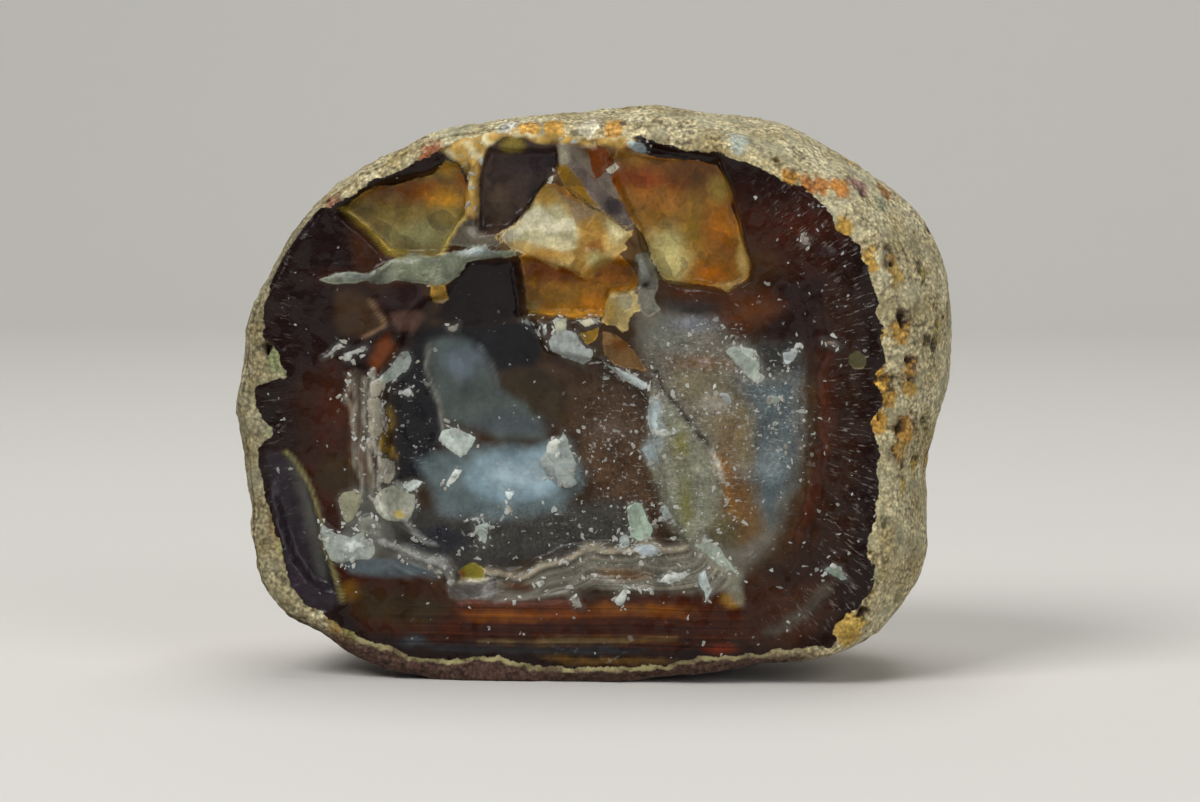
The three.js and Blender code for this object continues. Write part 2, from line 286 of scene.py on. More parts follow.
# where the chalcedony ends and the rind begins
agateEdge = [
    (-29.2, 46.9), (-26.9, 47.9), (-25.4, 48.6), (-22.2, 50.5), (-19, 51.8), (-17.3, 52.7), (-15.6, 53.6),
    (-13.4, 54.6), (-11.4, 55.2), (-8.2, 55.2), (-4, 55), (0.6, 54.7), (3.2, 55), (4.4, 55.1), (6.2, 54.2),
    (8.4, 53.7), (12.1, 53.4), (14.8, 52.3), (17, 51.4), (18.8, 50.4), (20.6, 49.8), (22, 48.8),
    (23.2, 47.4), (23.8, 46), (25, 45.1), (26, 44.2), (26.6, 42.6), (27.4, 41), (27.8, 39.2), (28, 37.6),
    (28.3, 36), (28.4, 34.4), (28.8, 32.6), (27.8, 31.4), (27.5, 30.6), (28.2, 30), (28.5, 29), (28.2, 28),
    (27.5, 26.8), (27.6, 26), (28, 25), (28.2, 23.4), (27.9, 22), (28.2, 20.4), (28, 19), (27.8, 17.4),
    (27.5, 16.4), (27.6, 15.4), (27, 14.4), (27.2, 13), (27.8, 12), (27.8, 10.4), (27.2, 9.2), (25.8, 7.8),
    (24.2, 6.6), (23.6, 5.4), (24.2, 4.6), (23.4, 4), (20, 3.9), (18, 3.7), (16.4, 3.3), (14, 3), (11.6, 3),
    (9, 2.6), (7, 2), (4, 1.7), (0, 1.6), (-3.6, 1.5), (-6.6, 1.7), (-9.4, 2.3), (-12, 2.6), (-14.4, 2.2),
    (-17, 2.2), (-19, 2.4), (-20.4, 3.4), (-22.6, 3.8), (-24.6, 4.6), (-26.4, 5.8), (-28.2, 6.8),
    (-30.2, 8.2), (-31.4, 10.2), (-32, 12.8), (-32.7, 15), (-33.4, 17.4), (-34, 19.4), (-34.4, 21.4),
    (-34.6, 23.4), (-33.4, 24.3), (-32.8, 25.4), (-34, 26.2), (-34.6, 28), (-34.7, 29.6), (-33.2, 30.1),
    (-31.4, 30.7), (-32.2, 32.4), (-32.8, 33.6), (-33.8, 34.6), (-33.9, 36.4), (-33.3, 39.3), (-32.3, 42.1),
    (-30.9, 44.6),
]

# feathery shelf between the basin and the crack
featherShelf = [
    (5, 28.6), (6, 29.4), (6.8, 28.8), (9.4, 26), (11.6, 22.6), (12.4, 19.8), (11.6, 16.6), (10, 14),
    (8.4, 14.6), (6.8, 17), (6.1, 19.6), (5.3, 21.6), (4.3, 23.4), (5, 25.2),
]

# Colours of the break are laid one over the other: colour, softness of the edge in mm, and an outline
# or a spot as (x, z, half width, half height). First the soft colours deep in the stone.
bodyColours = [
    ("38281a", 3, (0, 26, 24, 18)),
    ("3c1709", 3, (20.5, 46.5, 3, 2)),
    # brown shading to red, then nearly black at the right rim
    ("2a1509", 1.2, [
        (20, 40), (25.8, 40), (26.2, 30), (25.8, 20), (25, 13), (20, 8), (16, 12), (20, 20), (20.5, 30)]),
    ("3d2c19", 1.4, [
        (20.3, 31), (22.6, 31), (22.4, 24), (21, 17), (18, 12.5), (15.6, 12), (18.6, 18), (20.3, 24)]),
    ("4a2010", 1.1, [
        (22.4, 33), (23.2, 33), (23.2, 26), (22, 19), (20.2, 15), (20, 15.8), (21.6, 20), (22.4, 26)]),
    ("3a2012", 1.6, [(14, 9), (22, 10), (24, 7), (20, 4), (12, 4)]),
    ("4a4238", 0.5, [(16.8, 5.4), (20, 7.4), (22.8, 10.6), (23.8, 10.4), (21.4, 7), (18, 5)]),
    # red lens under the right amber scar, dark to its right
    ("1f0d0b", 1.4, [(17, 41), (22.4, 41), (22.4, 34.4), (16, 34.8)]),
    ("44220d", 1.3, [
        (6.5, 40.2), (13, 39.4), (17.6, 40), (18.4, 38.4), (16.6, 36.2), (14, 35), (12, 36.6), (9, 38.6)]),
    ("58300f", 1.2, (14.4, 37.6, 2, 0.8)),
    # broken amber between the pieces at the top
    ("5c4326", 0.5, [
        (-13.6, 45.6), (-13.4, 50), (-12, 53.6), (-4, 54.6), (2, 54.4), (4.4, 53), (2.6, 49.6), (3.9, 46.6),
        (4.8, 43), (4.2, 37), (-7.6, 36.8), (-8.4, 43.2), (-11, 44)]),
    ("6f6558", 0.4, [(-4, 54), (-2.6, 54.2), (1, 51.4), (4, 47), (3.4, 45.4), (0, 47.6), (-4, 51.6)]),
    # grey-brown glassy zone on the right, blue-grey towards the rim, tan by the crack
    ("6a655a", 1.2, [
        (4, 37.6), (8, 37.6), (11.8, 36.4), (14.2, 34.6), (20, 33.4), (20.6, 27), (20, 21), (17.6, 14.6),
        (14.6, 11.4), (9.6, 14.2), (8.8, 18), (6, 21), (5.2, 28), (6, 30.4), (4.4, 33)]),
    ("30302f", 0.8, [(15.8, 34.4), (20.2, 34.6), (20.6, 31.6), (16.4, 31.4)]),
    ("2d2a2a", 0.9, (9.6, 37.8, 2.6, 0.7)),
    ("505a5d", 1.3, [
        (14.6, 30.6), (20, 31.2), (20.2, 26), (19.4, 20.6), (17.4, 16), (15.8, 19), (16, 24), (14.8, 28)]),
    ("6b7678", 0.8, (17.6, 22.6, 1.6, 2.2)),
    ("6c6c62", 1, (7.4, 35.2, 2.4, 1.6)),
    ("74767b", 0.7, (9.6, 36.3, 2.2, 0.7)),
    ("6e6650", 1.1, [(8, 31.6), (12, 31.6), (15.6, 28), (15.4, 22), (13.4, 21.6), (11, 25.6), (7.6, 30)]),
    ("6d533a", 0.9, (10.6, 32.4, 2.4, 0.6)),
    ("76654a", 1.2, (13.6, 25.4, 1.6, 2.4)),
    ("8b8478", 0.8, (11.6, 28.3, 1.6, 0.8)),
    ("5e4726", 1.1, [(12.4, 21.4), (15.6, 20), (16.6, 15.8), (14.6, 14), (12.8, 16.6)]),
    ("6e5030", 1.3, [
        (11.7, 23.3), (12.8, 23.2), (14.4, 21), (15.6, 18), (15.4, 15.4), (13.9, 14.6), (12.9, 17),
        (12.3, 20)]),
    ("8a6026", 0.6, [
        (11.9, 23.2), (12.5, 22.8), (13.1, 21), (13.8, 18.6), (13.6, 17.6), (12.9, 19), (12.5, 20.6)]),
    ("585138", 1.2, (12, 15.6, 2, 2)),
    # feathery shelf between the basin and the crack
    ("7d7d6b", 0.9, featherShelf),
    ("98a3a2", 0.35, [(5, 28.6), (6.2, 29), (6.8, 26), (6.2, 22.4), (5.4, 21.6), (4.3, 23.4), (5, 25.4)]),
    ("6f6a33", 0.8, (8.4, 24.2, 0.7, 1.4)),
    ("68652f", 0.8, (8.9, 18.4, 0.6, 2)),
    # left plate: plum-black, a brown lobe, a red glow, olive at its foot
    ("1b0b0a", 1, [
        (-33.4, 40.4), (-28, 40.4), (-23.4, 40), (-21, 38.4), (-18, 38.6), (-17, 35), (-22, 31), (-25, 31),
        (-27, 33), (-33, 30), (-33.4, 34)]),
    ("1a0b0b", 1.2, [(-30, 46.6), (-26, 47.4), (-24, 45.6), (-24, 41.4), (-31.6, 41)]),
    ("3a2012", 0.8, [(-25, 46.6), (-22.6, 44.8), (-20.6, 42.8), (-21.6, 42), (-24, 41.6), (-25, 44)]),
    ("3b2817", 0.6, [
        (-26.5, 39.6), (-24, 39.4), (-22.6, 38.2), (-21.6, 36.9), (-21.5, 36), (-22.6, 35.2), (-24, 34.8),
        (-26.4, 35)]),
    ("5c4237", 0.4, [(-20.8, 37.1), (-18.6, 37.3), (-17.6, 37), (-17.7, 36.2), (-18.8, 35), (-20.2, 35.4)]),
    ("2b191b", 0.6, [(-22, 39.8), (-17.4, 40), (-17, 37.8), (-21.4, 37.4)]),
    ("64310f", 0.5, [
        (-23, 32.2), (-22.4, 33.8), (-21.2, 35.1), (-20.2, 34), (-20.8, 32.6), (-21.6, 31.8),
        (-22.6, 31.2)]),
    ("2c1408", 1.4, [
        (-30, 31.6), (-25.8, 31.4), (-25, 28), (-25, 20), (-28, 19.6), (-30, 23), (-30.6, 28)]),
    ("401c0e", 1.2, (-27, 26.4, 1.6, 2.6)),
    ("33240f", 1, (-26.4, 20.8, 2, 1.8)),
    ("5a4f43", 0.5, [
        (-24.8, 31.4), (-23.2, 30.6), (-23.4, 26), (-23.4, 23), (-22, 19), (-23.6, 19), (-24.2, 23),
        (-24.3, 27)]),
    # sunk strip at the lower left: plum, grey by its bright edge
    ("2a2229", 0.5, [
        (-33.6, 23), (-31.6, 23), (-29, 18.6), (-27.6, 12.6), (-26, 8), (-28, 6.6), (-31, 9), (-32.8, 17)]),
    ("4a4944", 0.6, [
        (-31.2, 22), (-30.2, 20.8), (-28.8, 17.4), (-28, 13), (-27, 10.4), (-28.4, 10), (-29.4, 13),
        (-30.4, 18)]),
    # red-brown bands under the basin
    ("3a1808", 0.9, [
        (-25.6, 9.8), (-15.4, 9), (-3, 8.6), (8, 9.2), (14.6, 9.6), (15, 5), (8, 3.8), (-8, 3.6),
        (-18, 4.2), (-24, 5.4)]),
    ("33240f", 0.9, [(-25.4, 9.4), (-17, 8.8), (-14.6, 7.6), (-17, 5.6), (-24, 6.2)]),
    ("62300d", 0.6, [(-14.4, 7.2), (-6, 7.4), (2, 7.8), (9, 8), (9, 6.9), (2, 6.6), (-6, 6.2), (-13, 6.1)]),
    ("7a4510", 0.5, (-9.4, 6.6, 2.4, 0.3)),
    ("7b4a14", 0.6, (4.4, 7.5, 3, 0.35)),
    ("8d6826", 0.6, (13.6, 8.8, 1, 0.8)),
    ("6e4a10", 0.7, (-25.2, 9, 0.9, 0.8)),
    ("2e130b", 0.4, [(-14, 5.8), (2, 5.9), (12, 6), (12, 5.2), (2, 5), (-14, 4.9)]),
    ("232224", 0.35, [
        (-17, 3.6), (-10, 3.5), (0, 3.7), (5.4, 3.6), (4, 3), (-4, 2.8), (-10, 2.9), (-16, 3)]),
    ("33373a", 0.4, (-18.6, 4, 1.4, 0.6)),
    ("5d4219", 0.35, [(-6, 2.6), (0, 2.5), (6, 2.6), (8, 2.4), (4, 2), (-4, 1.9)]),
    ("5e1f08", 0.4, (12.2, 3.7, 1.4, 0.4)),
    ("4f585c", 0.5, [
        (-26.4, 12), (-23, 12.5), (-20.4, 12.6), (-17, 11.6), (-16, 10.6), (-19, 10.6), (-22, 10.5),
        (-25, 11)]),
    ("56564f", 0.9, [(-24.6, 19.6), (-19, 20), (-18.6, 15), (-20.6, 12.8), (-24.4, 12.6), (-26.4, 14)]),
    # grey-olive bands of the low ledge
    ("6a665a", 0.5, [
        (-12, 10.8), (-8, 10.6), (-6, 11.6), (-3, 12.4), (-1, 13.6), (3, 13.4), (5, 13.9), (9, 13.8),
        (12, 13.6), (14.4, 11), (14, 9.4), (8, 9.4), (3, 9.4), (-3, 8.8), (-10, 8.2), (-15, 8.4),
        (-15, 9.7)]),
    ("6b4a24", 0.5, (2.4, 11, 2, 0.4)),
    ("4a2e1e", 0.4, (-8, 9.7, 1.6, 0.5)),
    ("33261a", 0.4, (-0.2, 9.2, 1.8, 0.6)),
    ("7f7c6c", 0.5, [(9.8, 13.8), (11, 14.6), (12.6, 13), (14.4, 11.2), (14.9, 8), (14, 8.6), (12.6, 11)]),
    # the basin: charcoal, brown, then the two lobes of the grey pool
    ("15151a", 0.6, [
        (-21, 31), (-19, 33.6), (-17.6, 35.6), (-10, 36.4), (-6, 36), (-6, 32), (-10, 31), (-16, 30),
        (-16, 24), (-17, 20), (-20.6, 20), (-20.8, 26)]),
    ("170d10", 0.4, [
        (-13.8, 42.4), (-10, 42.5), (-8.1, 42.6), (-7.8, 40.2), (-7.5, 37), (-10.1, 36.1), (-13.8, 35.7),
        (-17, 36.6), (-15.4, 38.9), (-14.7, 40.4)]),
    ("4a3626", 1, [
        (-6, 32), (0, 31.6), (3, 30), (5, 28.6), (5, 25), (4.2, 23), (5.4, 20), (6, 17), (2, 18), (-1, 19),
        (-3, 26), (-5.4, 28)]),
    ("33291a", 0.9, [(-11, 31), (-6, 31.4), (-3.4, 30), (-3.6, 26.4), (-7, 26), (-10, 28)]),
    ("5a4a3f", 0.9, (1.2, 25.4, 2, 1)),
    ("3d3b37", 0.9, [
        (-20.4, 13.8), (-19.6, 17), (-15.6, 17), (-8, 16.6), (-2, 18), (2, 18), (4, 14.4), (-3.6, 12.8),
        (-10.1, 11), (-15.2, 11)]),
    ("29292f", 0.6, (-16.4, 14, 3, 1.4)),
    ("4c5552", 0.7, [
        (-17.2, 34.2), (-15.6, 34.8), (-13.6, 34.2), (-11.6, 32.6), (-10.6, 30), (-8, 28), (-6, 26),
        (-5.6, 24.4), (-9, 24.2), (-13, 25.4), (-16, 26), (-16.4, 28.4), (-17.4, 31)]),
    ("5d6872", 1.2, (-14, 32.2, 1.8, 1.6)),
    ("4b5156", 1, (-9, 25.8, 2.6, 0.9)),
    ("5d6a6c", 0.8, [
        (-18.6, 22), (-14, 23.4), (-6, 23.6), (-3, 24), (-1.4, 20), (-4, 17.2), (-10, 16), (-16, 16.6)]),
    ("8096a0", 0.8, [
        (-14, 20.4), (-12.6, 22.4), (-9, 23.3), (-5, 23.2), (-3.4, 21), (-5, 18.6), (-9, 17.8),
        (-12.6, 18.4)]),
    ("9fb3bb", 0.7, (-8.2, 20.6, 3.2, 1.2)),
]

# pieces with hard edges: outline, colour, and softer spots inside
facetPieces = {
    "plumFacet": {
        "outline": [
            (-12, 45.4), (-12, 48), (-11.9, 51), (-11.4, 52.6), (-11, 53.6), (-10, 54.3), (-9, 54.8),
            (-7.4, 54.6), (-6, 54.2), (-4, 54), (-4, 52.4), (-4.6, 50.8), (-5.4, 50.2), (-6.4, 49),
            (-7.2, 47.6), (-8.2, 46.2), (-9.6, 45.4), (-10.4, 44.8)],
        "colour": "42322b", "spots": [
            ("33252a", 0.7, (-6.4, 52.4, 2.4, 1.2)), ("4e3d2e", 0.9, (-10, 48, 1.4, 2)),
            ("2a2022", 0.4, (-6.6, 49.4, 0.5, 1.4)), ("8f7d38", 0.4, (-8.4, 54, 1.2, 0.7))]},
    "greyFoot": {
        "outline": [
            (-13.6, 46.4), (-12.2, 46.7), (-11.8, 45.2), (-9.8, 44.6), (-9.6, 43.9), (-13.6, 43.9),
            (-15, 44)],
        "colour": "5f574a", "spots": [("8a8678", 0.4, (-12.6, 45.4, 0.7, 0.7))]},
    "mauveWedge": {
        "outline": [
            (-3.9, 54.2), (-2.8, 54), (-2, 52.6), (-1, 51.5), (0.4, 50.1), (1.6, 48.9), (2.4, 48.5),
            (2.7, 47.8), (3.6, 46.3), (3, 45.8), (1.8, 46.6), (0.6, 47.4), (-0.2, 48.4), (-1.2, 49.8),
            (-2.2, 51.3), (-3.8, 51.9)],
        "colour": "6b5f57", "spots": [
            ("352b2e", 0.6, (1.8, 48, 1, 0.9)), ("a29c84", 0.5, (-3.3, 53, 0.5, 0.9))]},
    "oliveWedge": {
        "outline": [
            (-4, 51.8), (-3.2, 52), (-2.4, 51.4), (-1.6, 50.4), (-0.6, 48.8), (0.2, 47.8), (-1.4, 48.4),
            (-3.2, 49.9)],
        "colour": "7c5c14", "spots": []},
    "redCorner": {
        "outline": [
            (-0.8, 53.6), (0.2, 54), (1.2, 53.4), (1.9, 52.3), (1.6, 51.6), (0.8, 51.3), (0, 50.7),
            (-0.6, 51.8)],
        "colour": "6a3308", "spots": []},
    "amberRight": {
        "outline": [
            (1.6, 52.4), (2, 53.6), (3, 54), (4.2, 53.2), (6, 52.7), (8.2, 52.6), (10, 52.4), (11.8, 51.9),
            (12.4, 51), (13, 50), (13.4, 48.8), (13.2, 47.8), (13.8, 46.4), (14.2, 45), (14.6, 43.8),
            (15, 42.6), (15.2, 41.6), (14.9, 40.7), (14, 40.3), (13, 39.5), (12, 39.9), (10, 40.1),
            (8, 40.4), (6.6, 40.6), (6, 41.2), (5.4, 42.4), (5, 43.6), (4.6, 45), (4, 45.8), (3.6, 46.6),
            (3, 47.6), (2.4, 48.7), (1.8, 49.8), (1.4, 50.6), (1.8, 51.6)],
        "colour": "8a6224", "spots": [
            ("7c3607", 1.4, (4.6, 50.6, 4, 1.4)), ("6b421c", 1, (9.6, 51.6, 4, 1.2)),
            ("a36a2a", 1.2, (5.4, 48.4, 2.4, 0.9)), ("bbae70", 1.4, (7, 43, 1.8, 2.6)),
            ("86691f", 1, (9.4, 46, 0.7, 2)), ("9c5f14", 1.2, (12.2, 45.6, 1.6, 3)),
            ("bb6b0d", 0.9, (11.4, 41.2, 1.6, 0.8)), ("b89b58", 0.5, (14.4, 42.6, 0.5, 2)),
            ("c4a764", 0.4, (13, 39.9, 1.2, 0.3)), ("9a8236", 0.8, (12, 49.6, 0.8, 1.2))]},
    "amberLeft": {
        "outline": [
            (-25.6, 47.6), (-24, 46.1), (-22.6, 44.9), (-21.6, 43.8), (-21, 43.2), (-19.6, 42.9),
            (-18.6, 43.1), (-17, 42.7), (-15.7, 43.2), (-15.2, 44.3), (-14.6, 45.3), (-14, 46.1),
            (-13.4, 46.6), (-13.3, 47.4), (-13.2, 48.6), (-13.3, 49.6), (-13.6, 50.4), (-13.9, 51.4),
            (-14.2, 52.2), (-15.2, 52.5), (-16, 51.7), (-17, 50.9), (-18.2, 50.6), (-19.6, 50.2),
            (-20.6, 49.9), (-22.5, 49.7), (-23.6, 49.2), (-24.8, 48.4)],
        "colour": "7d6a36", "spots": [
            ("6d3d12", 1, (-20, 49, 3.4, 1)), ("96580f", 0.9, (-17.4, 49.6, 1.6, 1)),
            ("c0881e", 1, (-15.4, 48.6, 1.6, 1)), ("9a5b14", 0.6, (-13.9, 50.4, 0.6, 1)),
            ("b3872f", 0.7, (-15.4, 51.4, 0.9, 0.6)), ("918c5e", 1.1, (-18, 44.8, 3, 1.2)),
            ("8a6c3c", 0.5, (-21, 48.5, 0.8, 0.5)), ("a08a48", 0.6, (-15.6, 47, 1, 0.6)),
            ("6f5c2c", 0.7, (-23.4, 47.4, 1.4, 0.6))]},
    "amberBlock": {
        "outline": [
            (-8, 42.9), (-7, 43), (-5.6, 42.6), (-3, 42), (0, 42), (1.2, 42.4), (2, 43.2), (2.6, 42.6),
            (3.2, 41.6), (3.8, 40.6), (3.8, 39.8), (2.8, 39.4), (1.4, 39.2), (0.8, 38.4), (0.4, 36.9),
            (-1.8, 36.7), (-4, 36.9), (-6, 37.1), (-7.2, 37.1), (-7.4, 38.4), (-7.6, 40), (-7.8, 41.6)],
        "colour": "a3701f", "spots": [
            ("8f4a10", 0.8, (-4.6, 41.4, 3.4, 1)), ("9d5f15", 0.8, (1.6, 41.2, 1.6, 1)),
            ("8a6520", 0.8, (-4, 38.6, 2.6, 0.8)), ("b8791c", 0.6, (-0.8, 38, 1.2, 1)),
            ("c9912c", 0.35, (-2.4, 37.05, 3, 0.25)), ("8d7a45", 0.5, (-6.8, 37.7, 0.6, 0.5))]},
    "honeyFan": {
        "outline": [
            (-9.6, 44.9), (-9.2, 45.6), (-8.2, 46.1), (-7.6, 46.9), (-7.2, 47.8), (-6.5, 48.6),
            (-6.1, 49.3), (-5.4, 50), (-5, 50.3), (-3.4, 49.8), (-2.4, 48.9), (-1.4, 48.1), (-0.4, 47.6),
            (0.4, 47.4), (1.2, 47), (2, 46.3), (2.9, 45.5), (3.6, 45.6), (3.4, 45), (2.6, 44.3),
            (2.9, 43.7), (2.2, 43.4), (1.8, 43.2), (1.6, 42.4), (0.6, 42), (-0.2, 41.6), (-0.6, 40.8),
            (-1.4, 40.4), (-2.2, 40.9), (-2.8, 41.4), (-3.6, 41.9), (-4.4, 41.5), (-5.2, 41.8), (-6, 42.3),
            (-7, 42.9), (-8.3, 43.6), (-9, 44)],
        "colour": "b5995c", "spots": [
            ("bcb58c", 0.5, [
                (-9.4, 45), (-7.2, 47.2), (-6, 48.4), (-3.6, 48), (-2.4, 46), (-1.8, 44.8), (-3, 44.2),
                (-5, 44), (-8.6, 44.4)]),
            ("b8913d", 0.7, (-5.2, 48.9, 0.9, 0.9)),
            ("9b8460", 0.35, [
                (-4.8, 50), (-3.6, 49.7), (-1.2, 48), (0.2, 47.4), (-1.2, 46.4), (-2.2, 46.2), (-3.4, 48.5)]),
            ("b57a28", 0.3, [(-5, 50.3), (-3.4, 49.9), (-1.4, 48.2), (-2.2, 48.4), (-4, 49.3)]),
            ("ad843c", 0.5, [
                (-1.7, 46.4), (0, 47.2), (0.8, 45.4), (0.6, 43), (-0.6, 41.4), (-1.4, 40.6), (-2.8, 41.5),
                (-2, 44.5)]),
            ("b1a373", 0.6, (1.8, 45.2, 0.9, 1)), ("b0863e", 0.6, (-5, 43, 2, 0.5)),
            ("c8c0a0", 0.4, (-4.4, 44.5, 1.8, 0.4)), ("bdb69c", 0.5, (-8.6, 45, 0.9, 0.5)),
            # the three palest patches below are painted glints
            ("ded6b4", 0.2, [
                (-7.4, 47.2), (-6, 47.8), (-4.2, 46.6), (-2.6, 46.8), (-2.2, 45.6), (-4.4, 45.2),
                (-6.4, 45.6), (-8.4, 45)]),
            ("d6cb9e", 0.2, [(-6.2, 44.6), (-3.4, 44.9), (-2, 43.9), (-3.6, 43.4), (-5.4, 43.8)]),
            ("dccf9c", 0.2, [(0.8, 46.9), (2.2, 46), (3.2, 45.2), (2, 44.6), (1, 45.4)]),
            ("8a5c22", 0.25, [(-1.2, 44), (0.2, 44.8), (0.6, 43.4), (-0.6, 42.6)]),
            ("a9a068", 0.6, (-0.4, 42.6, 1, 0.7))]},
    "creamBlob": {
        "outline": [
            (0.8, 38.6), (1.2, 39.3), (2, 39.3), (3.4, 39.6), (3.9, 39.2), (4, 38.4), (4.4, 37.6),
            (3.8, 37.4), (3.2, 36.8), (3.1, 35.6), (2.6, 35.3), (2, 36), (1, 36.2), (0.4, 36.6),
            (0.5, 37.6)],
        "colour": "aa9560", "spots": [
            ("c8bd94", 0.4, (2.9, 38.3, 0.7, 0.7)), ("b39348", 0.4, (1.2, 37.4, 0.5, 1))]},
    "greyColumn": {
        "outline": [
            (3.8, 43.2), (4.8, 43.4), (5.4, 42), (6, 40.8), (6, 39.4), (5.6, 38.8), (6.2, 37.6), (5, 37),
            (4.3, 37.6), (4, 38.8), (4.1, 40.4), (3.6, 42)],
        "colour": "69675b", "spots": [
            ("0c0a0a", 0.25, (3.9, 43.8, 0.5, 0.4)), ("121011", 0.25, (4.8, 40.1, 0.5, 0.35)),
            ("8d8f86", 0.4, (4.6, 41.8, 0.5, 0.8))]},
    "paleShelf": {
        "outline": [
            (-28, 40.5), (-25, 41.3), (-23.4, 41.1), (-22.4, 41.4), (-21.2, 42.2), (-20, 42.9),
            (-18.6, 43.1), (-17, 42.7), (-15.6, 43), (-14.4, 43.4), (-13, 43.5), (-12, 43.8), (-11.2, 43.8),
            (-10.4, 43.5), (-8.4, 43.5), (-8.2, 43), (-10.4, 42.8), (-12, 42.6), (-13.1, 42.4),
            (-13.4, 41.8), (-14, 41), (-14.6, 40.5), (-15.6, 39.9), (-16.4, 39.6), (-16.8, 40.1),
            (-18, 40.2), (-19, 40.3), (-20.2, 40.6), (-21, 40.2), (-22, 40.1), (-23, 40.5), (-25, 40.2),
            (-27, 40.2)],
        "colour": "797e69", "spots": [
            ("5f645f", 0.6, (-24, 40.8, 2.4, 0.5)), ("a3a893", 0.4, (-19.6, 42.6, 1.4, 0.4)),
            ("9ea9a6", 0.35, (-12, 43.3, 1.4, 0.35)), ("868c74", 0.5, (-18.4, 41.4, 1.4, 0.8)),
            ("a5a88e", 0.3, (-15.9, 41.2, 0.3, 1)), ("4e4f44", 0.5, (-22.2, 40.6, 0.8, 0.4))]},
    "goldTongue": {
        "outline": [(-16.6, 40), (-15.5, 40), (-15.1, 38.6), (-15.8, 38.1), (-16.7, 38.2)],
        "colour": "a07a2e", "spots": [("c2b088", 0.2, (-15.8, 38.3, 0.7, 0.2))]},
    "goldChip": {
        "outline": [(-1.7, 35.3), (0.2, 35.8), (-0.2, 34.6), (-1, 34.2)],
        "colour": "8f6f24", "spots": []},
    "brownChip": {
        "outline": [
            (0.6, 35.4), (1.8, 35.2), (3, 34.4), (4, 33), (5, 31.6), (3.4, 31.8), (1.8, 32.2), (0.8, 33.2)],
        "colour": "6d5231", "spots": [("70451a", 0.5, (2.4, 34, 1, 0.6))]},
    "ridgeBlock": {
        "outline": [
            (-15, 9.8), (-12.6, 9.9), (-10.5, 10.3), (-10.2, 9), (-10.9, 8.2), (-12.8, 8.4), (-15, 8.4)],
        "colour": "625c58", "spots": [("8f8b86", 0.3, (-11.2, 9, 0.7, 0.6))]},
    "oliveWeb": {
        "outline": [(-14.4, 10.9), (-13.2, 11.8), (-12.6, 11.6), (-11.6, 11), (-11.8, 10.2), (-14, 10)],
        "colour": "857a2a", "spots": [("7a4a12", 0.3, (-14.2, 10.6, 0.5, 0.4))]},
    "greenSpot": {
        "outline": [
            (25, 32.6), (25.2, 33.4), (26, 33.7), (26.8, 33.2), (26.9, 32.6), (26.4, 32), (25.6, 32)],
        "colour": "5c5636", "spots": []},
}

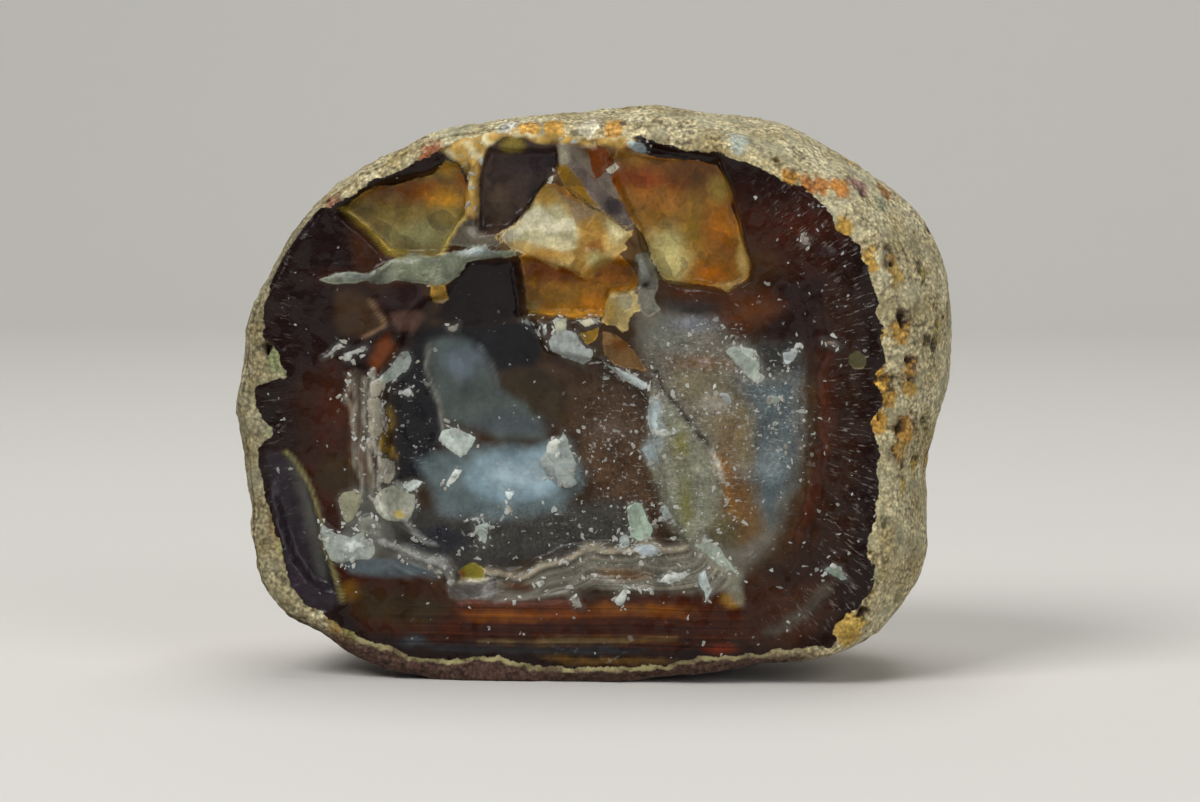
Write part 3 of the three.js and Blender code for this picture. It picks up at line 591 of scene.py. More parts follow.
# bruised flakes and ledges, white or grey: colour, outline
flakes = [
    ("a9b3ab", [
        (-16.5, 24.2), (-16.1, 25.1), (-14.8, 25.4), (-13.6, 24.9), (-12.6, 24.4), (-13.2, 23.2),
        (-14.2, 22.3), (-15.4, 23.2)]),
    ("b9bfb9", [(-15.8, 19.6), (-14.8, 21.2), (-14, 21.2), (-14.4, 20.3), (-15.4, 19.4)]),
    ("858d89", [
        (-6.4, 22.1), (-5.6, 22.9), (-4.6, 23), (-3.8, 25.2), (-3.4, 24.4), (-2.9, 23), (-2.4, 21.8),
        (-2.7, 20.8), (-2.3, 19.7), (-3.4, 19.3), (-4.8, 20.4), (-5.4, 20.7), (-6, 21.5)]),
    ("b9bcb3", [(-5.5, 22.9), (-5.4, 23.8), (-4.6, 24.4), (-4, 24.2), (-4.4, 23.2), (-5, 22.8)]),
    ("b5c0c0", [(-9.9, 18.9), (-8.7, 19), (-9.3, 17.9)]),
    ("a2a9a6", [(-9.8, 17.2), (-9.2, 17.4), (-9, 16.8), (-9.6, 16.6)]),
    ("98a59f", [(-12.9, 15.4), (-11.2, 15.9), (-11.7, 13.4)]),
    ("8f9692", [(-13.6, 16), (-12.4, 16.4), (-11.4, 16.3), (-12.6, 15.9)]),
    ("8a8f8c", [
        (-4.8, 34.6), (-4, 35.8), (-3.1, 35.6), (-2, 35.3), (-1.6, 34.4), (-1, 33.8), (-0.3, 33.6),
        (-0.7, 32.4), (-1.6, 31.9), (-2.6, 32.2), (-3.8, 32.8), (-4.6, 33.6)]),
    ("a9a98f", [(-4.5, 36.7), (-3, 36.7), (-3, 35.9), (-4, 35.3)]),
    ("b9b49a", [(-2, 36.6), (-0.4, 36.7), (0.1, 36.2), (-1.2, 35.9)]),
    ("8f9495", [(-8, 36.3), (-7.2, 36.6), (-7, 36), (-6.8, 35.4), (-7.5, 36)]),
    ("8f9495", [(-5.7, 36.5), (-5.2, 36.2), (-4.9, 35.4), (-5.3, 35)]),
    ("9aa0a0", [(-6.6, 35.2), (-5.9, 35.3), (-6, 34.8)]),
    ("b5bfc0", [
        (0.4, 32.9), (1.2, 32), (2.4, 31.8), (3.6, 31.2), (5, 30.4), (5.3, 29.8), (4.4, 29.6), (3, 30.2),
        (1.8, 31), (0.7, 32)]),
    ("a3b0b2", [
        (5, 28.6), (5.8, 29.1), (6.3, 28.2), (6, 26.6), (6.4, 25.6), (5.8, 24.8), (5.2, 25.2),
        (4.9, 26.6)]),
    ("96a3a6", [(4.2, 23.4), (5.2, 24), (6, 23.4), (6.2, 22.2), (5.4, 21.8)]),
    ("a9aca2", [(5.8, 25.6), (7.4, 25.6), (8.6, 25.8), (8, 25.3), (6.4, 25)]),
    ("97a19d", [(6.2, 17.8), (7, 17.8), (7.3, 16.6), (6.8, 16.2), (6.4, 16.8)]),
    ("9aa397", [
        (12.9, 33.6), (13.8, 34.1), (15.7, 34), (15.7, 33.3), (16.3, 32.4), (16.2, 31.6), (16.9, 31.2),
        (16.6, 30.5), (15.8, 30.6), (15, 31.3), (13.8, 32.4)]),
    ("8d978d", [(17, 29), (17.6, 29.3), (18.4, 28.9), (18, 28.3), (17, 28.4)]),
    ("b5bcb6", [(17.4, 26.2), (18, 26.7), (18.3, 26.4), (17.7, 26.1)]),
    ("a4acac", [
        (18.6, 33.4), (19.2, 33.6), (19.9, 34.1), (20.1, 33.7), (19.7, 32.8), (19, 32.3), (18.7, 32.7)]),
    ("8f9490", [(12, 29.5), (13.2, 29.5), (13.7, 28.2), (13.2, 28.2), (12.6, 29)]),
    ("8fa08e", [
        (2.7, 17.6), (3.6, 18.1), (4.4, 17.9), (4.8, 16.6), (5.5, 15.6), (5.2, 14.6), (4.2, 14.2),
        (3.1, 14.6), (3, 16)]),
    ("8c948f", [(2, 14.6), (2.8, 14.8), (3.2, 13.9), (2.2, 13.5)]),
    ("9ba5a8", [(3.6, 13.9), (5.4, 14), (6.4, 13.5), (5.6, 12.9), (4.4, 13)]),
    ("909a8b", [
        (10, 13.9), (10.8, 14.9), (11.4, 14.4), (12.4, 13.9), (13, 12.8), (14.2, 11.5), (14.6, 11),
        (13.4, 11.6), (12.2, 12.2), (11, 13.2)]),
    ("a3aeab", [
        (10.2, 11.2), (10.9, 11.6), (11.2, 10.6), (11.6, 9.6), (10.9, 8.4), (10.8, 9.4), (10.3, 10)]),
    ("a9ada6", [(6.2, 10.4), (7.4, 11.4), (8.6, 11.3), (9.4, 11.2), (8.6, 10.6), (7.4, 10.2)]),
    ("a3a99f", [(1.7, 8.4), (2.3, 9.2), (2.9, 9.9), (3, 9), (2.6, 7.9), (2, 8)]),
    ("8f8b7e", [(-2.8, 8.6), (-2, 9), (-1.7, 8.2), (-1.4, 7.7), (-2.3, 7.6)]),
    ("b3b5aa", [(-6.4, 10.1), (-5.3, 10.4), (-5.8, 9.5)]),
    ("858b82", [
        (-28.1, 15.9), (-26.6, 14.8), (-25, 14.4), (-24, 15), (-23.4, 14.2), (-22.6, 13.8), (-22.5, 12.8),
        (-23.2, 12.2), (-24.6, 12.2), (-26.4, 11.8), (-27, 12.2), (-27.6, 13.4), (-28, 14.8)]),
    ("b5bcb6", [(-25.6, 13.6), (-24.4, 14.2), (-23.8, 13.6), (-24.8, 12.8), (-25.6, 12.9)]),
    ("858268", [
        (-26.5, 18.2), (-26, 18.9), (-24.5, 19.3), (-23.8, 19.1), (-23.8, 18.2), (-24.3, 17.2), (-25, 16.2),
        (-25.6, 15.8), (-26, 17)]),
    ("76746a", [(-24.2, 16.4), (-23, 16.6), (-21.8, 15.8), (-22, 14.6), (-23.4, 14.8), (-24.4, 15.2)]),
    ("9d9e8d", [
        (-22.8, 18.2), (-21.8, 19.4), (-21, 19.6), (-20, 18.8), (-18.8, 18.6), (-18.8, 17.2), (-19.6, 15.8),
        (-20.6, 16), (-21.4, 16.4), (-22.4, 17)]),
    ("c3cbc6", [(-20.2, 19.5), (-19, 20.1), (-18, 20), (-18.6, 19.2), (-19.4, 18.9)]),
    ("b09a42", [(-20.8, 17), (-19.9, 17), (-19.9, 16.3), (-20.6, 16.3)]),
    ("8f9994", [
        (-22, 30.6), (-21, 31.8), (-20, 33.2), (-19.4, 33.3), (-19, 32.4), (-19.4, 31.4), (-20.6, 30.4),
        (-21.6, 30)]),
    ("a09a88", [(-22.9, 30.2), (-22.1, 30.6), (-21.6, 30), (-22, 28.8), (-22.8, 28.8)]),
    ("8b8472", [
        (-23.4, 28.6), (-22, 28.6), (-21.7, 27.6), (-21.5, 26), (-21.8, 25), (-22.4, 24.4), (-23.2, 25.2),
        (-23.1, 27)]),
    ("7f7566", [(-23.6, 24.2), (-22.6, 24.4), (-22.1, 23.4), (-22.8, 22.9), (-23.6, 23.4)]),
    ("96907f", [
        (-22, 22.6), (-21.4, 22.6), (-20.9, 21.8), (-20.8, 20.6), (-21.2, 19.8), (-22, 20.2),
        (-21.8, 21.4)]),
    ("a8aba6", [(-20.6, 29.4), (-20, 29.2), (-19.4, 29.6), (-19, 29), (-19.3, 28.5), (-20, 28.8)]),
    ("989a92", [(-27.9, 32.5), (-26.6, 33.7), (-26, 34), (-25.3, 33.7), (-26.2, 33.5), (-27, 32.8)]),
    ("90928c", [
        (-25.8, 32.9), (-25.4, 33.2), (-24, 33.6), (-23.2, 34), (-23.4, 33.3), (-24.8, 32.9), (-24.9, 32.3),
        (-25.4, 32.3)]),
    ("7c776e", [(-15.5, 35.6), (-14.6, 35.9), (-14.2, 36.2), (-14.4, 35.3), (-14.9, 35.1)]),
    ("7f8d80", [
        (22.6, 11.9), (24, 12.3), (24.5, 12.2), (24.8, 11.2), (25.4, 10.7), (24.6, 10.7), (23.8, 11.2)]),
    ("6e6357", [(20.4, 45.2), (21.2, 45), (21, 44.2), (20.4, 44.2)]),
    ("665447", [(22.6, 34.9), (23.4, 34.7), (24.2, 34.1), (23.9, 33.9), (22.9, 34.4)]),
    ("c9c5ac", [(-5, 50.9), (-4.4, 51), (-4.3, 50.4), (-4.9, 50.4)]),
    ("b9b5a0", [(0.8, 51.6), (1.8, 52.3), (2.1, 51.8), (1.5, 51.1)]),
    ("9aa9ae", [(3, 54.2), (3.6, 54.5), (4.6, 54.2), (4.9, 53.3), (4.2, 53.2), (3.4, 53.6)]),
]

# thin lines along edges and layers: colour, half width in mm, height in mm (below 0 a groove), line.
# Pale lines on raised edges are partly the stone's colour and partly painted highlight; near-black lines in
# grooves are painted shade
faceLines = [
    ("a99d86", 0.3, 0.4, [
        (-11.5, 10.9), (-9.5, 10.6), (-8, 10.6), (-6.8, 11), (-6, 11.6), (-4.8, 12), (-3.4, 12.3),
        (-2.4, 12.8), (-1.4, 13.5), (-0.2, 13.7), (0.8, 13.4), (2, 13.4), (3.2, 13.4), (4.2, 13.9),
        (5.4, 13.9), (6.4, 13.5), (7.6, 13.6), (8.8, 13.8)]),
    ("a6a8a0", 0.3, 0.4, [
        (-21.8, 14), (-20.6, 13.6), (-19.4, 13.2), (-18.2, 12.6), (-17, 12.2), (-16, 12), (-15.4, 11.4),
        (-15, 10.8), (-14.8, 10)]),
    ("6d706c", 0.25, 0.2, [(-20, 12.7), (-18.4, 12), (-17, 11.5), (-15.9, 10.9)]),
    ("908b80", 0.22, 0.25, [
        (-10.2, 8.1), (-8.8, 8.3), (-7, 8.6), (-5.5, 8.9), (-4, 9), (-3, 9.2), (-2.6, 10), (-1.6, 10.6),
        (0, 10.8), (1.2, 10.6), (2.2, 10.1), (2.8, 9.8), (4.5, 9.7), (5.6, 9.6)]),
    ("6f6b60", 0.18, 0.15, [(-2.4, 9.4), (-1.6, 10), (-0.4, 10.3), (0.8, 10.2), (1.8, 9.7)]),
    ("a9a498", 0.2, 0.2, [(-15, 9.8), (-12.8, 9.8), (-11.6, 10), (-10.6, 10.4)]),
    ("77695a", 0.28, 0.2, [
        (-25.2, 31), (-25.2, 29.6), (-25.6, 28.4), (-24.8, 27.6), (-24.4, 26.5), (-24.5, 25), (-24.6, 23.6),
        (-24.3, 22.2), (-23.8, 21.4)]),
    ("564839", 0.25, 0.15, [
        (-24.6, 30.4), (-24.4, 28.6), (-23.9, 27), (-23.9, 25), (-24, 23.2), (-23.2, 21.2), (-22.9, 19.6)]),
    ("9c998e", 0.16, 0.3, [
        (-22.8, 31.4), (-22.5, 29.8), (-22.9, 28.2), (-22.4, 26.4), (-22.7, 24.8), (-22, 23), (-21.8, 21.2),
        (-22.3, 19.6)]),
    ("857f72", 0.16, 0, [
        (-24.7, 30.4), (-24.4, 28), (-24.8, 26), (-24.2, 24), (-24.6, 22), (-23.8, 20), (-24, 18)]),
    ("8b877a", 0.14, 0.25, [
        (-23.4, 30.6), (-23.2, 28.4), (-23.6, 26.6), (-23, 24.8), (-23.2, 22.8), (-22.5, 20.6),
        (-22.9, 18.8)]),
    ("a8a9a2", 0.16, 0.3, [(-20.6, 19.8), (-19.4, 17.8), (-19.8, 15.8), (-18.4, 14.2), (-16.8, 13.4)]),
    ("8a6c18", 0.28, 0, [
        (-21.3, 27.4), (-21.1, 25.8), (-21.7, 24.6), (-21.8, 23.8), (-21.1, 23.2), (-20.8, 22.4)]),
    ("7d7b74", 0.2, 0.1, [
        (-17.3, 33.8), (-17.6, 31.4), (-17.1, 29.8), (-16.3, 28), (-16.1, 26), (-16, 25.2)]),
    ("55595a", 0.2, 0.1, [(-12.2, 33.8), (-11.2, 32.4), (-10.6, 30.6), (-10.3, 29)]),
    ("7a6048", 0.16, 0.15, [
        (-22.8, 38.4), (-22.2, 37.2), (-21.6, 36.6), (-21.5, 35.9), (-22.6, 35.2), (-23.6, 34.7)]),
    # yellow lines along the edges of the left amber scar: painted highlights
    ("b39a40", 0.2, 0.1, [
        (-25.6, 47.6), (-24, 46.1), (-22.6, 44.9), (-21.6, 43.8), (-21, 43.2), (-19.8, 42.9)]),
    ("bda55a", 0.16, 0.1, [(-15.7, 43.2), (-15.2, 44.3), (-14.6, 45.3), (-14, 46.1), (-13.4, 46.6)]),
    ("868050", 0.18, 0.15, [
        (-31.6, 23), (-30.6, 21.9), (-29.8, 20.4), (-29, 19), (-28.6, 17.6), (-28.2, 16.4), (-28, 15.4),
        (-27.9, 14), (-27.6, 12.8), (-27, 11.4), (-26.6, 10.4), (-26.2, 9.2), (-25.8, 8)]),
    # a dark line in the groove of the crack: painted shade
    ("2a2216", 0.17, -0.35, [
        (5.9, 31.5), (6.4, 30.2), (7.6, 28.6), (9.2, 26.4), (10.6, 24.8), (11.6, 23.4)]),
    ("c6c2b2", 0.12, -0.2, [(11.5, 23.7), (12.1, 22.4), (12.4, 21.2), (12.6, 20.7)]),
    # a near-black line in a groove by the plum facet: painted shade
    ("15100f", 0.2, -0.3, [(-5.3, 50.3), (-6.4, 49.1), (-7, 47.8), (-7.8, 47), (-8.6, 46.3)]),
    ("6a5028", 0.12, 0, [(-6, 4.3), (-1, 4.4), (4, 4.5), (8, 4.7)]),
    ("5a4a30", 0.1, 0, [(-12, 4), (-4, 4.05), (3, 4.2)]),
    ("6e4436", 0.12, 0, [(-14, 8), (-8, 7.9), (-2, 8.2)]),
]

# ochre crumbs along the top edge, with a spur between the left amber scar and the plum facet; the pale second
# colour is partly pale crystal and partly painted highlight
crumbColours = ("b8954e", "d9d0a6")
crumbZone = [
    (-15.6, 53.4), (-12.9, 55), (-8.2, 56.4), (-2.7, 56.4), (1, 55.8), (3.6, 55.2), (4.2, 54), (3, 53.2),
    (1.4, 54), (-0.6, 53.8), (-2, 54.2), (-4, 54.2), (-6, 54.4), (-7.4, 54.8), (-9, 55), (-10.2, 54.4),
    (-11.2, 53.4), (-11.8, 52), (-12, 49), (-12.1, 46.8), (-13.2, 46.9), (-13.1, 49), (-13.2, 50.4),
    (-13.9, 52.2),
]

# how thickly crushed white points lie: all over, then share, softness and spot of each zone
plainSpeck = 0.06
speckZones = [
    (0.25, 2.5, (21, 26, 6, 22)), (0.2, 2, (16, 7, 8, 4)), (0.9, 1.5, (11, 30, 7, 7)),
    (0.9, 1.5, (10, 20, 6, 6)), (0.95, 1.2, (18, 27, 3, 6)), (0.85, 1.5, (1.5, 24, 4.5, 8)),
    (0.6, 1, (-19, 26, 2.4, 6)), (0.8, 1.2, (-2, 15.4, 7, 2.2)), (0.5, 1.5, (-13, 14.4, 6, 2.6)),
    (0.7, 0.8, (5, 11.6, 8, 1.6)), (0.05, 0.8, (-9.5, 21, 6, 2.4)), (0.05, 0.8, (-12, 30, 4.4, 4.4)),
    (0.1, 1, (-7, 26.6, 3.4, 2)),
]

# marks of the rind as seen from the front: x, z, radius, and a colour; a hole is sunk as well, and its dark
# colour is painted shade. An ochre mark just below a hole is partly iron stain and partly painted light on
# the pit's lower wall
rindMarks = [
    (30.6, 35.4, 1.1, "b0842e", False), (30.8, 36.7, 0.7, "351409", True), (29.4, 43, 0.6, "a87c2e", False),
    (29.2, 43.7, 0.35, "40240f", True), (29.5, 42.2, 0.35, "4a2c10", True),
    (30.2, 41, 0.7, "a8883f", False), (32.6, 41.4, 0.5, "8d7a30", False),
    (32.5, 41.6, 0.35, "3a3012", True), (34, 36.3, 0.4, "2c2212", True), (34, 35.3, 0.4, "94843c", False),
    (32.9, 34.7, 0.35, "3a3016", True), (33.6, 33.9, 0.32, "3a3018", True),
    (31.4, 31.9, 0.75, "a87a28", False), (31.3, 32.7, 0.42, "54290f", True),
    (31.3, 30, 0.8, "a8812c", False), (31.4, 30.9, 0.32, "402610", True), (28.3, 30.8, 1, "b58a30", False),
    (29, 31, 0.55, "3c160a", True), (28, 31, 0.3, "3c1a0a", True), (29.3, 28.6, 0.7, "ae8430", False),
    (28.3, 26.7, 0.95, "b3842a", False), (28.3, 27.1, 0.32, "44240c", True),
    (29.2, 29.6, 0.25, "3c2410", True), (30.8, 25.5, 1.2, "a8782a", False),
    (30.4, 25.9, 0.6, "4a2a10", True), (31.6, 27, 0.3, "5a3a18", True), (30.2, 23.6, 0.8, "a3803a", False),
    (29.9, 23.7, 0.3, "4a3014", True), (33, 27, 0.5, "4a4020", True), (33, 26.1, 0.4, "645a30", True),
    (31.7, 22, 0.5, "9d8136", False), (31.6, 22.6, 0.32, "40300f", True),
    (30.5, 20.2, 0.5, "a58a34", False), (30.5, 21.2, 0.36, "38280e", True),
    (25.5, 5.8, 1.6, "a8883a", False), (26.6, 7.3, 0.5, "3f2410", True), (25.6, 5, 0.25, "4a3a1c", True),
    (26.4, 50, 0.9, "85625a", False), (26.8, 49.1, 0.36, "5d2f10", True),
    (28.8, 49.3, 0.8, "8a5a20", False), (24, 50, 0.9, "b5700e", False), (22.5, 50.2, 0.8, "a8661a", False),
    (21, 50.3, 0.7, "9a5a18", False), (19.4, 51, 0.8, "a8741c", False), (24.6, 46, 0.6, "a8822c", False),
    (27.3, 42.9, 0.7, "ab8430", False), (28.8, 34.6, 0.5, "ad8a38", False), (30, 9, 0.5, "6d6848", False),
    (28.4, 48.2, 0.6, "7f8066", False), (23.4, 52.6, 0.25, "57553c", True),
    (24.4, 51.4, 0.2, "57553c", True), (29, 16.1, 0.25, "5d5a40", True), (-32.4, 32.4, 1, "a3aa78", False),
    (-33.4, 33.6, 0.4, "3c3014", True), (-32.8, 25.4, 0.7, "a5a680", False),
    (-33.9, 28.4, 0.3, "33301c", True), (-31.8, 13.4, 0.8, "b5ae74", False),
    (-32.2, 14.6, 0.5, "b59a6a", False), (-26.4, 5.6, 0.8, "a37c2a", False),
    (-17, 1.9, 0.8, "b58d1e", False), (-24.8, 4.6, 0.5, "8f8a3a", False),
    (-15.4, 1.8, 0.8, "a8a35a", False), (-16.6, 53, 0.8, "8a4a2a", False),
    (-26.6, 48, 0.6, "7a5040", False), (-8.6, 56, 0.8, "c2c2b8", False), (-7, 55.6, 0.8, "bd8c38", False),
    (-4, 55.6, 0.9, "b98a34", False), (-1, 55.8, 0.9, "c4bda4", False), (1.6, 55.4, 0.8, "b8873a", False),
    (14, 54.6, 0.9, "9fa79c", False), (-6, 0.7, 1.4, "aea68a", False), (1.6, 0.9, 1.4, "6b2e18", False),
]

# pits of the same kind on the sides and back, where the front view doesn't reach
hiddenPits = {
    "count": 130, "fromBreak": 9, "smallest": 0.3, "largest": 0.75,
    "stains": ["a8802e", "b08a40", "8f6a34"], "seed": 77,
}

# relief of the break in mm: height, width and seed of each kind, then single sizes
relief = {
    "swells": ((0.8, 12, 11), (0.25, 4.5, 12)), "chips": ((0.14, 3.2, 31), (0.05, 1.1, 32)),
    "crumbs": (0.4, 0.9, 34), "honeyFan": (0.3, 2.2, 35), "paleShelf": (0.5, 1.6, 36),
    "hollowWall": 0.4, "leastHollow": 0.15, "thinnestLine": 0.23,
    "flakeHeight": 0.24, "flakeTilt": 0.16, "flakeSeed": 51,
}

# colour at the rim, then how far in from it each next colour comes in
rimColour = "1a0a06"
rimColours = ((1.8, "220d05"), (3.4, "321305"), (6.5, "38200c"))

# layers: how strongly they show in each place, and the outlines of the stack at the left and the low ledge
bandStrength = {"leftStack": 0.6, "lowLedge": 0.7, "shelf": 0.25, "bottom": 0.65, "right": 0.4}
leftStack = [(-26, 32), (-20.8, 32), (-20.6, 18.6), (-26, 18.6)]
lowLedge = [(-21, 13.4), (-15, 11), (-8, 11), (0, 14), (9, 14), (14, 11), (14, 9.2), (-15, 8.2), (-21, 11)]


def layOver(colour, x, z, hexText, soft, shape, wobble):
    # lays one colour over those before it
    if isinstance(shape, list):
        gap = insideDistance(x, z, shape)
    else:
        cx, cz, wide, high = shape
        gap = (1 - np.hypot((x - cx) / wide, (z - cz) / high)) * min(wide, high)
    share = smoothStep(-soft, soft, gap + wobble * soft)
    return colour + (np.array(linearColour(hexText)[:3]) - colour) * share[:, None]


def paintFace(x, z):
    # depth of the break, and the colours and shares the finish reads, for every corner of the face
    flat = np.stack([x, np.zeros_like(x), z], 1)
    # edges wander up to about 0.4 mm, those of pieces with hard edges less
    bendX, bendZ = (0.3 * swell(flat, 1.6, seed) + 0.12 * swell(flat, 0.6, seed + 2) for seed in (21, 22))
    wx, wz = x + bendX, z + bendZ
    nx, nz = x + 0.4 * bendX, z + 0.4 * bendZ
    fine = swell(flat, 0.9, 25)
    drift = 0.5 * fine + 0.7 * swell(flat, 2.3, 29)
    rim = insideDistance(wx, wz, agateEdge)

    # swells and flat chips of the break, then its hollows
    depth = np.zeros(len(x))
    for height, width, seed in relief["swells"]:
        depth = depth + height * swell(flat, width, seed)
    for height, width, seed in relief["chips"]:
        depth = depth + height * facets(wx, wz, width, seed)
    for scoop in hollows.values():
        edge = insideDistance(nx, nz, scoop["outline"])
        away2 = (x - scoop["deepest"][0]) ** 2 + (z - scoop["deepest"][1]) ** 2
        floor = scoop["depth"] - scoop["ball"] + np.sqrt(np.maximum(scoop["ball"] ** 2 - away2, 0))
        inHollow = smoothStep(-relief["hollowWall"], relief["hollowWall"], edge)
        depth += np.maximum(floor - depth, relief["leastHollow"]) * inHollow
    crumb = smoothStep(-0.3, 0.3, insideDistance(wx, wz, crumbZone))
    height, width, seed = relief["crumbs"]
    depth += height * crumb * facets(x, z, width, seed)
    height, width, seed = relief["honeyFan"]
    inFan = smoothStep(0, 0.6, insideDistance(nx, nz, facetPieces["honeyFan"]["outline"]))
    depth += height * inFan * facets(x - 0.3 * z, z, width, seed)
    height, width, seed = relief["paleShelf"]
    onShelf = smoothStep(-0.2, 0.4, insideDistance(nx, nz, facetPieces["paleShelf"]["outline"]))
    depth -= height * onShelf * (1 + facets(x, z, width, seed))

    # soft colours by distance from the rim, then zone by zone
    body = np.ones((len(x), 1)) * np.array(linearColour(rimColour)[:3])
    for gap, hexText in rimColours:
        share = smoothStep(gap - 1.2, gap + 1.2, rim + 0.5 * fine)
        body += (np.array(linearColour(hexText)[:3]) - body) * share[:, None]
    for hexText, soft, shape in bodyColours:
        body = layOver(body, wx, wz, hexText, soft, shape, 0.3 * drift)

    # pieces with hard edges
    facet, facetGap = body.copy(), np.full(len(x), -9.0)
    for piece in facetPieces.values():
        gap = insideDistance(nx, nz, piece["outline"])
        own = np.ones((len(x), 1)) * np.array(linearColour(piece["colour"])[:3])
        for hexText, soft, shape in piece["spots"]:
            own = layOver(own, nx, nz, hexText, 0.9 * soft, shape, 0.7 * drift)
        share = np.where(facetGap > 0, smoothStep(-0.1, 0.1, gap), smoothStep(-0.7, -0.4, gap))
        facet += (own - facet) * share[:, None]
        facetGap = np.maximum(facetGap, gap)

    # bruised flakes stand a little proud, each tilted its own way
    rng = np.random.default_rng(relief["flakeSeed"])
    flake, flakeGap = body.copy(), np.full(len(x), -9.0)
    for hexText, outline in flakes:
        gap = insideDistance(nx, nz, outline)
        on = (gap > flakeGap) | (gap > 0)
        flake[on] = np.array(linearColour(hexText)[:3])
        flakeGap = np.maximum(flakeGap, gap)
        centre, tilt = np.mean(outline, 0), rng.normal(size=2) * relief["flakeTilt"]
        rise = relief["flakeHeight"] + (x - centre[0]) * tilt[0] + (z - centre[1]) * tilt[1]
        depth -= np.maximum(rise, 0.05) * smoothStep(-0.12, 0.12, gap)

    # lines along edges and layers, with painted highlights on raised edges and painted shade in grooves, then
    # the crumbs
    onLine = np.zeros(len(x))
    for hexText, half, height, line in faceLines:
        # a line thinner than this would break up between the corners of the face
        near = np.exp(-(lineDistance(nx, nz, line) / max(half, relief["thinnestLine"])) ** 2)
        depth -= height * near
        share = (near * np.clip(0.85 + 0.5 * fine, 0, 1))[:, None]
        tint = np.array(linearColour(hexText)[:3])
        body += (tint - body) * share
        facet += (tint - facet) * share
        onLine = np.maximum(onLine, near * (height > 0.15))
    # the crumbs: ochre, with pale patches that are partly pale crystal and partly painted highlight
    ochreAndPaintedLight = np.array(linearColour(crumbColours[0])[:3]) * (1 + 0.45 * facets(x, z, 0.9, 37))[:, None]
    pale = smoothStep(0.05, 0.3, swell(flat, 1.3, 38))[:, None]
    ochreAndPaintedLight += (np.array(linearColour(crumbColours[1])[:3]) - ochreAndPaintedLight) * 0.75 * pale
    body += (ochreAndPaintedLight - body) * crumb[:, None]

    # layering: which way the bands run and how strongly they show
    leftBands = smoothStep(0, 0.8, insideDistance(x, z, leftStack))
    ledgeBands = smoothStep(0, 0.6, insideDistance(x, z, lowLedge))
    crest = np.minimum(lineDistance(x, z, faceLines[0][3]), lineDistance(x, z, faceLines[1][3]))
    bottom = (1 - smoothStep(7, 9.4, z)) * smoothStep(0.2, 1, rim)
    bottom *= smoothStep(-24, -17, x)
    bottom *= 1 - smoothStep(13, 18, x)
    combs = smoothStep(-0.1, 0.4, insideDistance(nx, nz, featherShelf)) * (1 - smoothStep(7, 9, x))
    ring = smoothStep(16, 20, x) * smoothStep(1, 3, rim) * (1 - smoothStep(7, 9, rim))
    level = 1.4 * z + 120 + 0.25 * swell(flat, 9, 28)
    alongRim = rim + 80 + 0.15 * swell(flat, 6, 28)
    slanted = 1.5 * (z - 0.35 * x) + 200 + 0.3 * swell(flat, 3, 30)
    upright = x + 0.5 * swell(flat, 5, 27)
    place = np.where(bottom > 0.02, level, alongRim)
    place = np.where(combs > 0, slanted, place)
    place = np.where(ledgeBands > 0, crest + 40, place)
    place = np.where(leftBands > 0, upright, place)
    elsewhere = np.maximum(bandStrength["bottom"] * bottom, bandStrength["right"] * ring)
    elsewhere = np.where((leftBands > 0) | (ledgeBands > 0), 0, elsewhere)
    band = np.max([
        bandStrength["leftStack"] * leftBands, bandStrength["lowLedge"] * ledgeBands,
        bandStrength["shelf"] * combs, elsewhere], 0)

    # crushed white points, and hairlines near the rim
    speck = np.full(len(x), plainSpeck)
    for share, soft, (cx, cz, wide, high) in speckZones:
        gap = (1 - np.hypot((x - cx) / wide, (z - cz) / high)) * min(wide, high)
        speck += (share - speck) * smoothStep(-soft, soft, gap)
    nearRim = smoothStep(0.05, 0.5, rim)
    dash = smoothStep(14, 21, x) * nearRim * (1 - smoothStep(2.6, 5.6, rim)) * smoothStep(3, 9, z)
    dash = np.maximum(dash, 0.35 * smoothStep(-29, -32, x) * nearRim)

    # where splinters lie: along raised lines, round flakes, among crumbs and where points lie thick
    offFacet = facetGap < 0.1
    edging = np.exp(-(flakeGap / 0.4) ** 2)
    chip = np.max([1.2 * onLine, 0.9 * edging, 0.5 * crumb, 0.15 * np.maximum(speck - 0.5, 0)], 0)
    chip *= (rim > 0.3) * offFacet
    return depth, {"bodyColour": body, "facetColour": facet, "flakeColour": flake}, {
        "rimGap": rim, "facetGap": facetGap, "flakeGap": flakeGap, "band": band, "bandPlace": place,
        "speck": speck * offFacet, "dash": dash, "chip": chip}


# red-brown skin under the stone, higher towards the left, and painted shade on the thin rind there: mm from
# where to where
underSkin = {"heights": (2.2, 5), "climb": 0.06, "climbFrom": -18, "rightEnd": (20, 24), "backEnd": (0, 12)}
leftRindShade = {"darker": 0.42, "across": (-27, -31), "backEnd": (-11, -4)}


def seenFromFront(points):
    # where each point shows on the plane of the break, seen from the camera
    a, e = math.radians(view["azimuth"]), math.radians(view["elevation"])
    right = np.array((math.cos(a), math.sin(a), 0))
    ahead = np.array((-math.sin(a) * math.cos(e), math.cos(a) * math.cos(e), -math.sin(e)))
    offset = points - (0, stone["faceY"], stone["axisHeight"])
    near = view["distance"] / (view["distance"] + offset @ ahead)
    return (offset @ right) * near, stone["axisHeight"] + (offset @ np.cross(right, ahead)) * near


